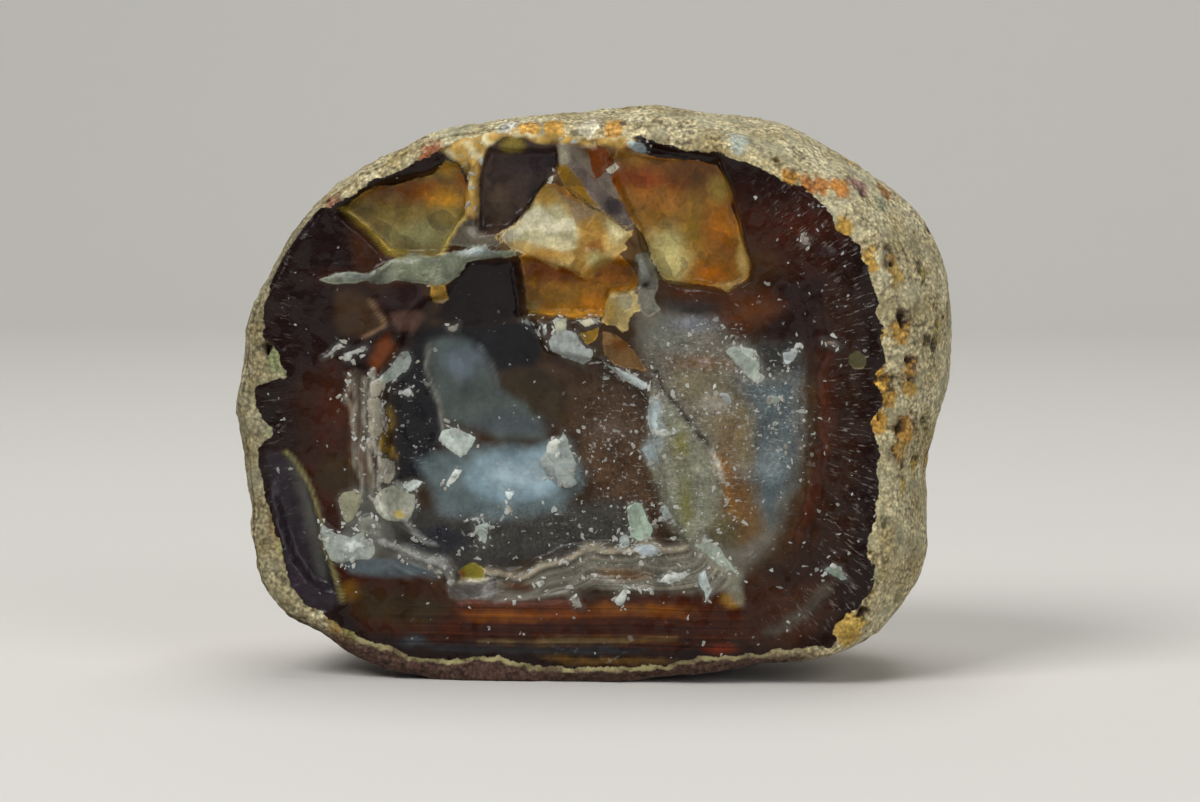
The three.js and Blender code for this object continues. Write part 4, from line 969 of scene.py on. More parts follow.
def markRind(points, front):
    # colours and shares of stains and of the painted shade in holes, and depth of holes, for every point of
    # the stone
    turns, steps = np.radians(np.arange(-90, 270, 0.5)), np.arange(0, 11, 0.2)
    angles, depths = (g.ravel() for g in np.meshgrid(turns, steps, indexing="ij"))
    waist = waistDepth(angles)
    ok = depths <= waist
    angles, depths, waist = angles[ok], depths[ok], waist[ok]
    along = 1 - stone["sideShare"] + stone["sideShare"] * (waist - depths) / (waist + stone["frontCover"])
    side = rindPoints(angles, along)
    sideX, sideZ = seenFromFront(side)
    inFront = insideDistance(points[:front, 0], points[:front, 2], agateEdge)
    bent = points + 0.5 * np.stack([swell(points, 1.1, seed) for seed in (61, 62, 63)], 1)
    stainAndShadeColour = np.ones((len(points), 1)) * np.array(linearColour("a39468")[:3])
    stainAndShadeGap, hole = np.full(len(points), -3.0), np.full(len(points), -3.0)
    marks = []
    for x, z, radius, hexText, sunk in rindMarks:
        away = (sideX - x) ** 2 + (sideZ - z) ** 2
        place = side[np.argmin(away)]
        if math.hypot(place[0] - x, place[2] - z) > 2.5 or np.min(away) > 0.2:
            place = np.array((x, stone["faceY"], z))
        marks.append((place, radius, hexText, sunk))
    rng = np.random.default_rng(hiddenPits["seed"])
    angles = rng.uniform(0, 2 * np.pi, hiddenPits["count"])
    along = rng.uniform(0, 1, hiddenPits["count"]) ** 0.5
    around = rindPoints(angles, along)
    for place in around[around[:, 1] > stone["faceY"] + hiddenPits["fromBreak"]]:
        radius = rng.uniform(hiddenPits["smallest"], hiddenPits["largest"]) ** 1.5
        # each hidden pit: an ochre stain set half a radius lower, partly iron stain and partly painted light
        # on the pit's lower wall, then a hole painted dark as shade
        marks.append((place - (0, 0, 0.5 * radius), 1.5 * radius, rng.choice(hiddenPits["stains"]), False))
        marks.append((place, radius, "3a2210", True))
    for place, radius, hexText, sunk in marks:
        gap = radius - np.linalg.norm((bent - place) * (1, 1, 0.8), axis=1)
        share = np.where(stainAndShadeGap > 0, smoothStep(-0.1, 0.1, gap), smoothStep(-0.9, -0.6, gap))
        stainAndShadeColour += (np.array(linearColour(hexText)[:3]) - stainAndShadeColour) * share[:, None]
        stainAndShadeGap = np.maximum(stainAndShadeGap, gap)
        if sunk:
            hole = np.maximum(hole, gap)
    hole[:front][inFront > 0] = -3
    return stainAndShadeColour, stainAndShadeGap, hole


def storeValues(mesh, name, kind, key, values):
    layer = mesh.attributes.new(name, kind, "POINT")
    layer.data.foreach_set(key, values.astype(np.float32).ravel())


def makeStone():
    cells = stone["faceCells"]
    share, angle = discGrid(cells)
    edge = discEdge(cells)
    edgeAngle = angle[edge]
    waist = waistDepth(edgeAngle)
    rimAlong = 1 - stone["sideShare"] + stone["sideShare"] * waist / (waist + stone["frontCover"])
    rimPoints = rindPoints(edgeAngle, rimAlong)

    # the face: every corner is a share of the way from the axis to the rim
    turned = np.mod(angle, 2 * np.pi)
    order = np.argsort(turned[edge])
    known, full = turned[edge][order], 2 * np.pi
    rimX, rimZ = (np.interp(turned, known, rimPoints[order, c], period=full) for c in (0, 2))
    x, z = rimX * share, stone["axisHeight"] + (rimZ - stone["axisHeight"]) * share
    depth, colours, shares = paintFace(x, z)
    toRim = (1 - share) * np.hypot(rimX, rimZ - stone["axisHeight"])
    flat = np.stack([x, np.zeros_like(x), z], 1)
    rindShare = 1 - smoothStep(-0.25, 0.15, shares["rimGap"])
    crumbled = 0.15 * swell(flat, 0.8, 41) + 0.25 * swell(flat, 2.2, 42)
    depth = depth * smoothStep(-0.5, 2.5, toRim) + rindShare * crumbled
    depth += stone["rimCrumble"] * (1 - smoothStep(0, stone["rimCrumbleWidth"], toRim)) ** 2
    front = np.stack([x, stone["faceY"] + depth, z], 1)

    # rings from the rim back over the side, then a second disc for the back
    points, faces = [front], discFaces(cells, 0, False)
    rim, first = edge, len(front)
    rings = stone["rimRings"] + stone["sideRings"]
    for k in range(1, rings + 1):
        t = k / rings
        pick = slice(None) if k <= stone["rimRings"] else slice(None, None, 2)
        along = rimAlong[pick] + (stone["backFrom"] - rimAlong[pick]) * (0.55 * t + 0.45 * t * t)
        ring = rindPoints(edgeAngle[pick], along)
        ring[:, 1] += (front[edge, 1] - stone["faceY"])[pick] * max(0, 1 - t * 8) ** 2
        points.append(ring)
        now = first + np.arange(len(ring))
        first += len(ring)
        if len(now) == len(rim):
            faces += np.stack([rim, now, np.roll(now, -1), np.roll(rim, -1)], 1).tolist()
        else:
            even, odd, nextEven, after = rim[::2], rim[1::2], np.roll(rim[::2], -1), np.roll(now, -1)
            for a, b, c in ((even, now, odd), (odd, now, after), (odd, after, nextEven)):
                faces += np.stack([a, b, c], 1).tolist()
        rim = now
    backCells = len(rim) // 4
    backShare, backAngle = discGrid(backCells)
    back = rindPoints(backAngle, backShare * stone["backFrom"])
    points.append(back)
    swap = np.arange(first + len(back))
    swap[first + discEdge(backCells)] = rim  # the back's edge is the last ring
    faces += swap[np.array(discFaces(backCells, first, True))].tolist()

    everything = np.concatenate(points)
    everything[:, 2] = np.maximum(everything[:, 2], 0)  # the flat underside
    mesh = bpy.data.meshes.new("stone")
    mesh.from_pydata((everything * mm).tolist(), [], faces)
    total = len(everything)

    stainAndShadeColour, stainAndShadeGap, hole = markRind(everything, len(front))
    px, py, pz = everything.T
    climb = underSkin["climb"] * np.maximum(underSkin["climbFrom"] - px, 0) ** 1.5
    skin = 1 - smoothStep(*underSkin["heights"], pz - climb)
    skin *= 1 - smoothStep(*underSkin["rightEnd"], px)
    skin *= 1 - smoothStep(*underSkin["backEnd"], py)
    outside = np.ones(total)
    outside[:len(front)] = rindShare
    # painted shade: the thin rind at the left darker towards its edge, on its front part
    leftShadeShare = leftRindShade["darker"] * smoothStep(*leftRindShade["across"], px)
    leftShadeTone = 1 - leftShadeShare * (1 - smoothStep(*leftRindShade["backEnd"], py))
    floats = {"stainAndShadeGap": stainAndShadeGap, "hole": hole, "skin": skin, "rindShare": outside, "leftShadeTone": leftShadeTone}
    resting = {"rimGap": -5.0, "facetGap": -9.0, "flakeGap": -9.0}
    for name, values in shares.items():
        floats[name] = np.full(total, resting.get(name, 0.0))
        floats[name][:len(front)] = values
    for name, values in floats.items():
        storeValues(mesh, name, "FLOAT", "value", values)
    for name, values in {**colours, "stainAndShadeColour": stainAndShadeColour}.items():
        tint = np.ones((total, 4))
        tint[:len(values), :3] = np.clip(values, 0.001, 1)
        storeValues(mesh, name, "FLOAT_COLOR", "color", tint)
    # arc along the rim and distance from it, in mm, for hairlines that run straight in from the rim
    place = np.zeros((total, 3))
    place[:len(front), 0] = np.arctan2(z - stone["axisHeight"], x) * stone["meanReach"]
    place[:len(front), 1] = shares["rimGap"]
    storeValues(mesh, "rimPlace", "FLOAT_VECTOR", "vector", place)

    # points no face uses go: the back disc's own edge
    body = bmesh.new()
    body.from_mesh(mesh)
    bmesh.ops.delete(body, geom=[v for v in body.verts if not v.link_faces], context="VERTS")
    body.to_mesh(mesh)
    body.free()
    mesh.materials.append(brokenChalcedony)
    mesh.materials.append(weatheredRind)
    slot = np.ones(len(mesh.polygons), np.int32)
    slot[:cells * cells] = 0
    mesh.polygons.foreach_set("material_index", slot)
    mesh.polygons.foreach_set("use_smooth", np.ones(len(mesh.polygons), bool))
    piece = bpy.data.objects.new("geodeStone", mesh)
    bpy.context.scene.collection.objects.link(piece)
    return piece


# rind in mm: pits, grains and knobs as form, sizes of its patches of colour, and how matt it is
rind = {
    "pitSpacing": 2.3, "pitRadius": 0.6, "pitDepth": 0.5, "pitShare": 0.55, "holeDepth": 1.1,
    "grain": 0.65, "grainHeight": 0.34, "knob": 1.9, "knobHeight": 0.6,
    "patch": 4.5, "green": 3.1, "rust": 1.7, "sugar": 0.42, "dust": 0.5, "roughness": 0.88,
    "skinRoughness": 0.65,
}


def openMaterial(name):
    material = bpy.data.materials.new(name)
    material.use_nodes = True
    material.node_tree.nodes.clear()
    return material, material.node_tree


def layColour(tree, under, over, value, span, most):
    # one colour over another, by how far a value has come from one end of its span to the other
    share = addNode(tree, "ShaderNodeMapRange", {}, {
        "Value": value, "From Min": span[0], "From Max": span[1], "To Min": 0.0, "To Max": most})
    return addNode(tree, "ShaderNodeMix", {"data_type": "RGBA"}, {"Factor": share, "A": under, "B": over})


def pitNodes(tree, place):
    # how deep in a small pit each point of the rind is, 0 to 1: scattered cells of which only some are pits
    cells = addNode(tree, "ShaderNodeTexVoronoi", {"voronoi_dimensions": "3D", "feature": "F1"},
                    {"Vector": place, "Scale": 1 / (rind["pitSpacing"] * mm), "Randomness": 1.0})
    parts = addNode(tree, "ShaderNodeSeparateXYZ", {}, {"Vector": cells.outputs["Color"]})
    spread = 0.7 * rind["pitRadius"] / rind["pitSpacing"]
    size = addNode(tree, "ShaderNodeMath", {"operation": "MULTIPLY_ADD"}, {
        0: parts.outputs[1], 1: spread, 2: 0.4 * spread})
    hole = addNode(tree, "ShaderNodeMapRange", {"interpolation_type": "SMOOTHSTEP"}, {
        "Value": cells.outputs["Distance"], "From Min": size, "From Max": 0.0, "To Min": 0.0,
        "To Max": 1.0})
    chosen = addNode(tree, "ShaderNodeMath", {"operation": "GREATER_THAN"}, {
        0: parts.outputs[0], 1: 1 - rind["pitShare"]})
    return addNode(tree, "ShaderNodeMath", {"operation": "MULTIPLY"}, {0: hole, 1: chosen})


def rindFinish(tree, place):
    # colour and height of the rind: cream and buff patches, sugary grains with painted highlights on their
    # crowns and painted shade in the gaps, iron stain in and round the pits with painted shade at the bottom
    # of the pits and in the holes, painted shade on the thin rind at the left, and a dark red-brown skin
    # under the stone
    read = {name: addNode(tree, "ShaderNodeAttribute", {"attribute_name": name}, {}).outputs["Fac"]
            for name in ("stainAndShadeGap", "hole", "skin", "leftShadeTone")}
    ochreAndPaintedLight = addNode(tree, "ShaderNodeAttribute", {"attribute_name": "stainAndShadeColour"}, {}).outputs["Color"]
    patch, green, rust, fine = (
        addNode(tree, "ShaderNodeTexNoise", {}, {
            "Vector": place, "Scale": 1 / (rind[name] * mm), "Detail": detail, "Roughness": roughness})
        for name, detail, roughness in (
            ("patch", 6.0, 0.62), ("green", 5.0, 0.6), ("rust", 6.0, 0.65), ("dust", 5.0, 0.7)))
    pit = pitNodes(tree, place)
    colour = linearColour("a9986a")
    for value, span, most, hexText in (
            (patch, (0.35, 0.65), 1.0, "d3c9a4"), (green, (0.52, 0.7), 0.7, "8f9078"),
            (rust, (0.6, 0.72), 0.65, "a07a3a"),
            # the darkest colour, at the bottom of each pit, is painted shade; the ochre round it is iron
            # stain
            (pit, (0.0, 0.4), 0.8, "86682e"), (pit, (0.4, 0.9), 0.85, "3d2c14")):
        colour = layColour(tree, colour, linearColour(hexText), value, span, most)
    # stained marks and holes, with crumbly edges; the holes' dark colours are painted shade
    crumbly = addNode(tree, "ShaderNodeMath", {"operation": "MULTIPLY_ADD"}, {
        0: rust, 1: 3.2, 2: read["stainAndShadeGap"]})
    stainAndShadeBright = addNode(tree, "ShaderNodeVectorMath", {"operation": "SCALE"}, {0: ochreAndPaintedLight, "Scale": 1.35})
    stainedAndShaded = layColour(tree, colour, stainAndShadeBright, crumbly, (1.1, 1.65), 0.85)
    holeRag = addNode(tree, "ShaderNodeMath", {"operation": "MULTIPLY_ADD"}, {
        0: rust, 1: 0.5, 2: read["hole"]})
    deep = layColour(tree, stainedAndShaded, linearColour("2c1608"), holeRag, (0.2, 0.42), 0.92)
    skinTone = addNode(tree, "ShaderNodeMix", {"data_type": "RGBA"}, {
        "Factor": rust, "A": linearColour("2e1a12"), "B": linearColour("6b5246")})
    skinned = addNode(tree, "ShaderNodeMix", {"data_type": "RGBA"}, {
        "Factor": read["skin"], "A": deep, "B": skinTone})
    # sugary grains: pale crowns painted as highlights, painted shade between them, fainter in smooth patches;
    # knots stand out pale
    grains = addNode(tree, "ShaderNodeTexVoronoi", {}, {
        "Vector": place, "Scale": 1 / (rind["sugar"] * mm), "Randomness": 1.0})
    crown = addNode(tree, "ShaderNodeMath", {"operation": "MULTIPLY_ADD"}, {
        0: grains.outputs["Distance"], 1: -0.4, 2: fine})
    gapShade, crownHighlight, smooth, knots = (
        addNode(tree, "ShaderNodeMapRange", {}, dict(enumerate(span))) for span in (
            (crown, 0.12, 0.34, 0.3, 1.0), (crown, 0.34, 0.52, 1.0, 1.75), (green, 0.45, 0.6, 1.0, 0.45),
            (rust, 0.38, 0.62, 1.2, 0.84)))
    rough = addNode(tree, "ShaderNodeMath", {"operation": "MULTIPLY"}, {0: gapShade, 1: crownHighlight})
    grainLightAndShade = addNode(tree, "ShaderNodeMix", {"data_type": "FLOAT"}, {
        "Factor": smooth, "A": 0.95, "B": rough})
    knottedAndShaded = addNode(tree, "ShaderNodeMath", {"operation": "MULTIPLY"}, {0: grainLightAndShade, 1: knots})
    tone = addNode(tree, "ShaderNodeMath", {"operation": "MULTIPLY"}, {0: knottedAndShaded, 1: read["leftShadeTone"]})
    colour = addNode(tree, "ShaderNodeVectorMath", {"operation": "SCALE"}, {0: skinned, "Scale": tone})
    height = addNode(tree, "ShaderNodeMath", {"operation": "MULTIPLY_ADD"}, {0: pit, 1: -1.0, 2: crown})
    return colour, height


# patterns of the break in mm, and its gloss; a blow leaves it waxy, so it mirrors less than polished stone
broken = {
    "ragged": 0.6, "cloud": 2.6, "grit": 0.34, "crush": 0.75, "chip": 1.7, "plane": 1.2,
    "sway": 2.2, "swayBy": 1.6,
    # the white points are partly bruised chalcedony and partly painted glints
    "points": ((0.4, 0.025), (0.22, 0.05)),  # size, and share of cells with a white point where thickest
    "scuff": (0.8, 2, 0.2), "hairStretch": (3.4, 0.8, 1.0),  # hairlines to the mm along the rim and inwards
    "roughness": 0.22, "bruisedRoughness": 0.85, "ior": 1.54, "specular": 0.22,
}


def makeBrokenChalcedony():
    # Chalcedony, broken by a blow: waxy, half clear and dark inside, with bruised white flakes; small points
    # are painted as glints and paler lines along edges as highlights
    material, tree = openMaterial("chalcedony, broken")
    place = addNode(tree, "ShaderNodeTexCoord", {}, {}).outputs["Object"]
    read = {name: addNode(tree, "ShaderNodeAttribute", {"attribute_name": name}, {}).outputs["Fac"]
            for name in ("bandPlace", "band", "speck", "dash", "facetGap", "flakeGap", "rimGap", "skin")}
    tint = {name: addNode(tree, "ShaderNodeAttribute", {"attribute_name": name}, {}).outputs["Color"]
            for name in ("bodyColour", "facetColour", "flakeColour")}
    rimPlace = addNode(tree, "ShaderNodeAttribute", {"attribute_name": "rimPlace"}, {}).outputs["Vector"]

    # clouds and grains, hairlines in from the rim, level scuffs, layers, and chips with swaying edges
    stretched = addNode(tree, "ShaderNodeVectorMath", {"operation": "MULTIPLY"}, {
        0: rimPlace, 1: broken["hairStretch"]})
    scales = tuple(1 / (side * mm) for side in broken["scuff"])
    level = addNode(tree, "ShaderNodeVectorMath", {"operation": "MULTIPLY"}, {0: place, 1: scales})
    ragged, cloud, grit, crush, bent, hair, scuff = (
        addNode(tree, "ShaderNodeTexNoise", {}, {
            "Vector": where, "Scale": scale, "Detail": detail, "Roughness": rough,
            "Lacunarity": lacunarity})
        for where, scale, detail, rough, lacunarity in (
            (place, 1 / (broken["ragged"] * mm), 5.0, 0.65, 2.0),
            (place, 1 / (broken["cloud"] * mm), 7.0, 0.66, 2.0),
            (place, 1 / (broken["grit"] * mm), 4.0, 0.7, 2.0),
            (place, 1 / (broken["crush"] * mm), 6.0, 0.74, 2.2),
            (place, 1 / (broken["sway"] * mm), 3.0, 0.5, 2.0), (stretched, 1.0, 4.0, 0.62, 2.0),
            (level, 1.0, 5.0, 0.65, 2.0)))
    layers = addNode(tree, "ShaderNodeTexNoise", {"noise_dimensions": "1D"}, {
        "W": read["bandPlace"], "Scale": 1.5, "Detail": 4.0, "Roughness": 0.7})
    sway = addNode(tree, "ShaderNodeVectorMath", {"operation": "SCALE"}, {
        0: bent.outputs["Color"], "Scale": broken["swayBy"] * mm})
    swayed = addNode(tree, "ShaderNodeVectorMath", {"operation": "ADD"}, {0: place, 1: sway})
    chips = addNode(tree, "ShaderNodeTexVoronoi", {}, {
        "Vector": swayed, "Scale": 1 / (broken["chip"] * mm), "Randomness": 1.0})
    chipDraw = addNode(tree, "ShaderNodeSeparateXYZ", {}, {"Vector": chips.outputs["Color"]})

    # distances from edges, made ragged by up to about 0.2 mm
    ragMm = addNode(tree, "ShaderNodeMath", {"operation": "MULTIPLY_ADD"}, {0: ragged, 1: 0.9, 2: -0.45})
    facetEdge, flakeEdge, rimEdge = (
        addNode(tree, "ShaderNodeMath", {"operation": "MULTIPLY_ADD"}, {0: ragMm, 1: amount, 2: read[name]})
        for name, amount in (("facetGap", 0.35), ("flakeGap", 0.28), ("rimGap", 0.8)))
    fromEdge = addNode(tree, "ShaderNodeMath", {"operation": "ABSOLUTE"}, {0: facetEdge})

    # tones and shares: a value, the two ends it is read between, and what it gives at each
    spans = {
        "cloud": (cloud, 0.3, 0.7, 0.6, 1.4), "layer": (layers, 0.35, 0.65, 0.38, 1.75),
        "grit": (grit, 0.3, 0.7, 0.6, 1.5), "gritShare": (read["speck"], 0.05, 0.5, 0.1, 1.0),
        "hair": (hair, 0.575, 0.68, 0.0, 0.7), "chip": (chipDraw.outputs[0], 0.0, 1.0, 0.74, 1.32),
        "facetCloud": (cloud, 0.3, 0.7, 0.52, 1.2), "facetGrit": (grit, 0.3, 0.7, 0.8, 1.25),
        # the edge shares: where the painted highlight lines along the pieces' edges show
        "edge": (fromEdge, 0.13, 0.02, 0.0, 0.8), "edgeHighlightPart": (cloud, 0.47, 0.6, 0.0, 0.9),
        "flake": (flakeEdge, -0.03, 0.06, 0.0, 1.0), "flakeGrain": (ragged, 0.3, 0.7, 0.8, 1.6),
        "haze": (flakeEdge, -0.5, 0.0, 0.0, 0.2), "rind": (rimEdge, 0.04, -0.05, 0.0, 1.0),
        "line": (rimEdge, -0.55, -0.35, 0.0, 1.0), "linePart": (cloud, 0.4, 0.56, 0.15, 0.9),
    }
    tones = {name: addNode(tree, "ShaderNodeMapRange", {}, dict(enumerate(span)))
             for name, span in spans.items()}

    # the colours deep in the stone, with their clouds, grains, layers and hairlines
    layered = addNode(tree, "ShaderNodeMix", {"data_type": "FLOAT"}, {
        "Factor": read["band"], "A": 1.0, "B": tones["layer"]})
    gritHere = addNode(tree, "ShaderNodeMix", {"data_type": "FLOAT"}, {
        "Factor": tones["gritShare"], "A": 1.0, "B": tones["grit"]})
    mottled = addNode(tree, "ShaderNodeMath", {"operation": "MULTIPLY"}, {0: tones["cloud"], 1: gritHere})
    tone = addNode(tree, "ShaderNodeMath", {"operation": "MULTIPLY"}, {0: mottled, 1: layered})
    toned = addNode(tree, "ShaderNodeVectorMath", {"operation": "SCALE"}, {
        0: tint["bodyColour"], "Scale": tone})
    hairHere = addNode(tree, "ShaderNodeMath", {"operation": "MULTIPLY"}, {
        0: tones["hair"], 1: read["dash"]})
    lined = addNode(tree, "ShaderNodeMix", {"data_type": "RGBA"}, {
        "Factor": hairHere, "A": toned, "B": linearColour("8f857e")})

    # crushed white places, small white points where flat chips would catch the light, partly bruised white
    # and partly painted glints, and scuffs
    thick = addNode(tree, "ShaderNodeMath", {"operation": "MULTIPLY_ADD"}, {
        0: read["speck"], 1: 0.11, 2: crush})
    bruisedAndPaintedGlints = layColour(tree, lined, linearColour("b4b3aa"), thick, (0.705, 0.77), 0.85)
    for size, share in broken["points"]:
        bits = addNode(tree, "ShaderNodeTexVoronoi", {}, {
            "Vector": swayed, "Scale": 1 / (size * mm), "Randomness": 1.0})
        draw = addNode(tree, "ShaderNodeSeparateXYZ", {}, {"Vector": bits.outputs["Color"]})
        odds = addNode(tree, "ShaderNodeMath", {"operation": "MULTIPLY_ADD"}, {
            0: read["speck"], 1: share, 2: draw.outputs[0]})
        bitHere = addNode(tree, "ShaderNodeMapRange", {}, dict(enumerate((odds, 1.0, 1.001, 0.0, 0.9))))
        bitTone = addNode(tree, "ShaderNodeMath", {"operation": "MULTIPLY"}, {
            0: bitHere, 1: draw.outputs[1]})
        bruisedAndPaintedGlints = addNode(tree, "ShaderNodeMix", {"data_type": "RGBA"}, {
            "Factor": bitTone, "A": bruisedAndPaintedGlints, "B": linearColour("b9bcb6")})
    scuffed = addNode(tree, "ShaderNodeMath", {"operation": "MULTIPLY_ADD"}, {
        0: read["speck"], 1: 0.12, 2: scuff})
    crushed = layColour(tree, bruisedAndPaintedGlints, linearColour("aeb0a8"), scuffed, (0.7, 0.8), 0.75)

    # pieces with hard edges, each chip in its own tone, and here and there a paler line where they end, a
    # painted highlight
    chipped = addNode(tree, "ShaderNodeMath", {"operation": "MULTIPLY"}, {
        0: tones["facetCloud"], 1: tones["chip"]})
    facetTone = addNode(tree, "ShaderNodeMath", {"operation": "MULTIPLY"}, {
        0: chipped, 1: tones["facetGrit"]})
    facetColour = addNode(tree, "ShaderNodeVectorMath", {"operation": "SCALE"}, {
        0: tint["facetColour"], "Scale": facetTone})
    pieced = layColour(tree, crushed, facetColour, facetEdge, (-0.04, 0.06), 1.0)
    edgeHighlight = addNode(tree, "ShaderNodeVectorMath", {"operation": "SCALE"}, {
        0: tint["facetColour"], "Scale": 2.2})
    edgeHighlightHere = addNode(tree, "ShaderNodeMath", {"operation": "MULTIPLY"}, {
        0: tones["edge"], 1: tones["edgeHighlightPart"]})
    edgeHighlighted = addNode(tree, "ShaderNodeMix", {"data_type": "RGBA"}, {
        "Factor": edgeHighlightHere, "A": pieced, "B": edgeHighlight})

    # bruised flakes, with a faint haze round them
    flakeTone = addNode(tree, "ShaderNodeMath", {"operation": "MULTIPLY"}, {
        0: tones["flakeGrain"], 1: tones["chip"]})
    flakeColour = addNode(tree, "ShaderNodeVectorMath", {"operation": "SCALE"}, {
        0: tint["flakeColour"], "Scale": flakeTone})
    flaked = addNode(tree, "ShaderNodeMix", {"data_type": "RGBA"}, {
        "Factor": tones["flake"], "A": edgeHighlighted, "B": flakeColour})
    haze = addNode(tree, "ShaderNodeMath", {"operation": "MULTIPLY"}, {0: tones["haze"], 1: ragged})
    hazed = addNode(tree, "ShaderNodeMix", {"data_type": "RGBA"}, {
        "Factor": haze, "A": flaked, "B": linearColour("a9ada8")})

    # the broken edge of the rind, with a pale line along it where the red-brown skin is
    rindColour, rindHeight = rindFinish(tree, place)
    linePart = addNode(tree, "ShaderNodeMath", {"operation": "MULTIPLY"}, {
        0: tones["line"], 1: tones["linePart"]})
    lineHere = addNode(tree, "ShaderNodeMath", {"operation": "MULTIPLY"}, {0: linePart, 1: read["skin"]})
    rimmed = addNode(tree, "ShaderNodeMix", {"data_type": "RGBA"}, {
        "Factor": lineHere, "A": rindColour, "B": linearColour("b3aa78")})
    colour = addNode(tree, "ShaderNodeMix", {"data_type": "RGBA"}, {
        "Factor": tones["rind"], "A": hazed, "B": rimmed})
    dull = addNode(tree, "ShaderNodeMath", {"operation": "MULTIPLY"}, {0: tones["flake"], 1: 0.25})
    duller = addNode(tree, "ShaderNodeMath", {"operation": "MAXIMUM"}, {0: dull, 1: tones["rind"]})
    roughness = addNode(tree, "ShaderNodeMix", {"data_type": "FLOAT"}, {
        "Factor": duller, "A": broken["roughness"], "B": broken["bruisedRoughness"]})

    # tiny flat planes of the break, each tilted its own way, so that some catch the light
    cells = addNode(tree, "ShaderNodeTexVoronoi", {}, {
        "Vector": place, "Scale": 1 / (broken["plane"] * mm), "Randomness": 1.0})
    away = addNode(tree, "ShaderNodeVectorMath", {"operation": "SUBTRACT"}, {
        0: place, 1: cells.outputs["Position"]})
    lean = addNode(tree, "ShaderNodeVectorMath", {"operation": "SUBTRACT"}, {
        0: cells.outputs["Color"], 1: (0.5, 0.5, 0.5)})
    plane = addNode(tree, "ShaderNodeVectorMath", {"operation": "DOT_PRODUCT"}, {0: away, 1: lean})
    planes = addNode(tree, "ShaderNodeBump", {}, {
        "Strength": 0.3, "Distance": 1.0, "Height": plane.outputs["Value"]})
    surface = addNode(tree, "ShaderNodeMix", {"data_type": "FLOAT"}, {
        "Factor": tones["rind"], "A": ragged, "B": rindHeight})
    bump = addNode(tree, "ShaderNodeBump", {}, {
        "Strength": 0.5, "Distance": 0.14 * mm, "Height": surface, "Normal": planes})
    shader = addNode(tree, "ShaderNodeBsdfPrincipled", {}, {
        "Base Color": colour, "Roughness": roughness, "Normal": bump, "IOR": broken["ior"],
        "Specular IOR Level": broken["specular"]})
    addNode(tree, "ShaderNodeOutputMaterial", {}, {"Surface": shader})
    return material


def makeWeatheredRind():
    # Chalky rind, weathered in the ground: matt, buff, sugary and pitted, with ochre iron stain in its pits;
    # painted shade in the pits, holes and grain gaps, painted highlights on the grain crowns, and painted
    # shade at the left
    material, tree = openMaterial("nodule rind, weathered")
    place = addNode(tree, "ShaderNodeTexCoord", {}, {}).outputs["Object"]
    colour, height = rindFinish(tree, place)
    skin = addNode(tree, "ShaderNodeAttribute", {"attribute_name": "skin"}, {}).outputs["Fac"]
    bump = addNode(tree, "ShaderNodeBump", {}, {"Strength": 0.9, "Distance": 0.4 * mm, "Height": height})
    roughness = addNode(tree, "ShaderNodeMix", {"data_type": "FLOAT"}, {
        "Factor": skin, "A": rind["roughness"], "B": rind["skinRoughness"]})
    shader = addNode(tree, "ShaderNodeBsdfPrincipled", {}, {
        "Base Color": colour, "Roughness": roughness, "Normal": bump, "IOR": 1.5})
    addNode(tree, "ShaderNodeOutputMaterial", {}, {"Surface": shader})
    return material


def openTree(name, sizes):
    # takes the piece's mesh and one named input for each size
    tree = bpy.data.node_groups.new(name, "GeometryNodeTree")
    sockets = {}
    for way in ("INPUT", "OUTPUT"):
        tree.interface.new_socket("Geometry", in_out=way, socket_type="NodeSocketGeometry")
    for size in sizes:
        sockets[size] = tree.interface.new_socket(size, in_out="INPUT", socket_type="NodeSocketFloat")
    return tree, sockets, addNode(tree, "NodeGroupInput", {}, {})


def makePlain(piece, tree, sockets, sizes):
    # runs the tree once: the mesh it gives becomes the piece's own, and the modifier goes
    modifier = piece.modifiers.new(tree.name, "NODES")
    modifier.node_group = tree
    for name, size in sizes.items():
        modifier[sockets[name].identifier] = size
    graph = bpy.context.evaluated_depsgraph_get()
    shown = piece.evaluated_get(graph)
    plain = bpy.data.meshes.new_from_object(shown, preserve_all_data_layers=True, depsgraph=graph)
    piece.modifiers.clear()
    piece.data = plain


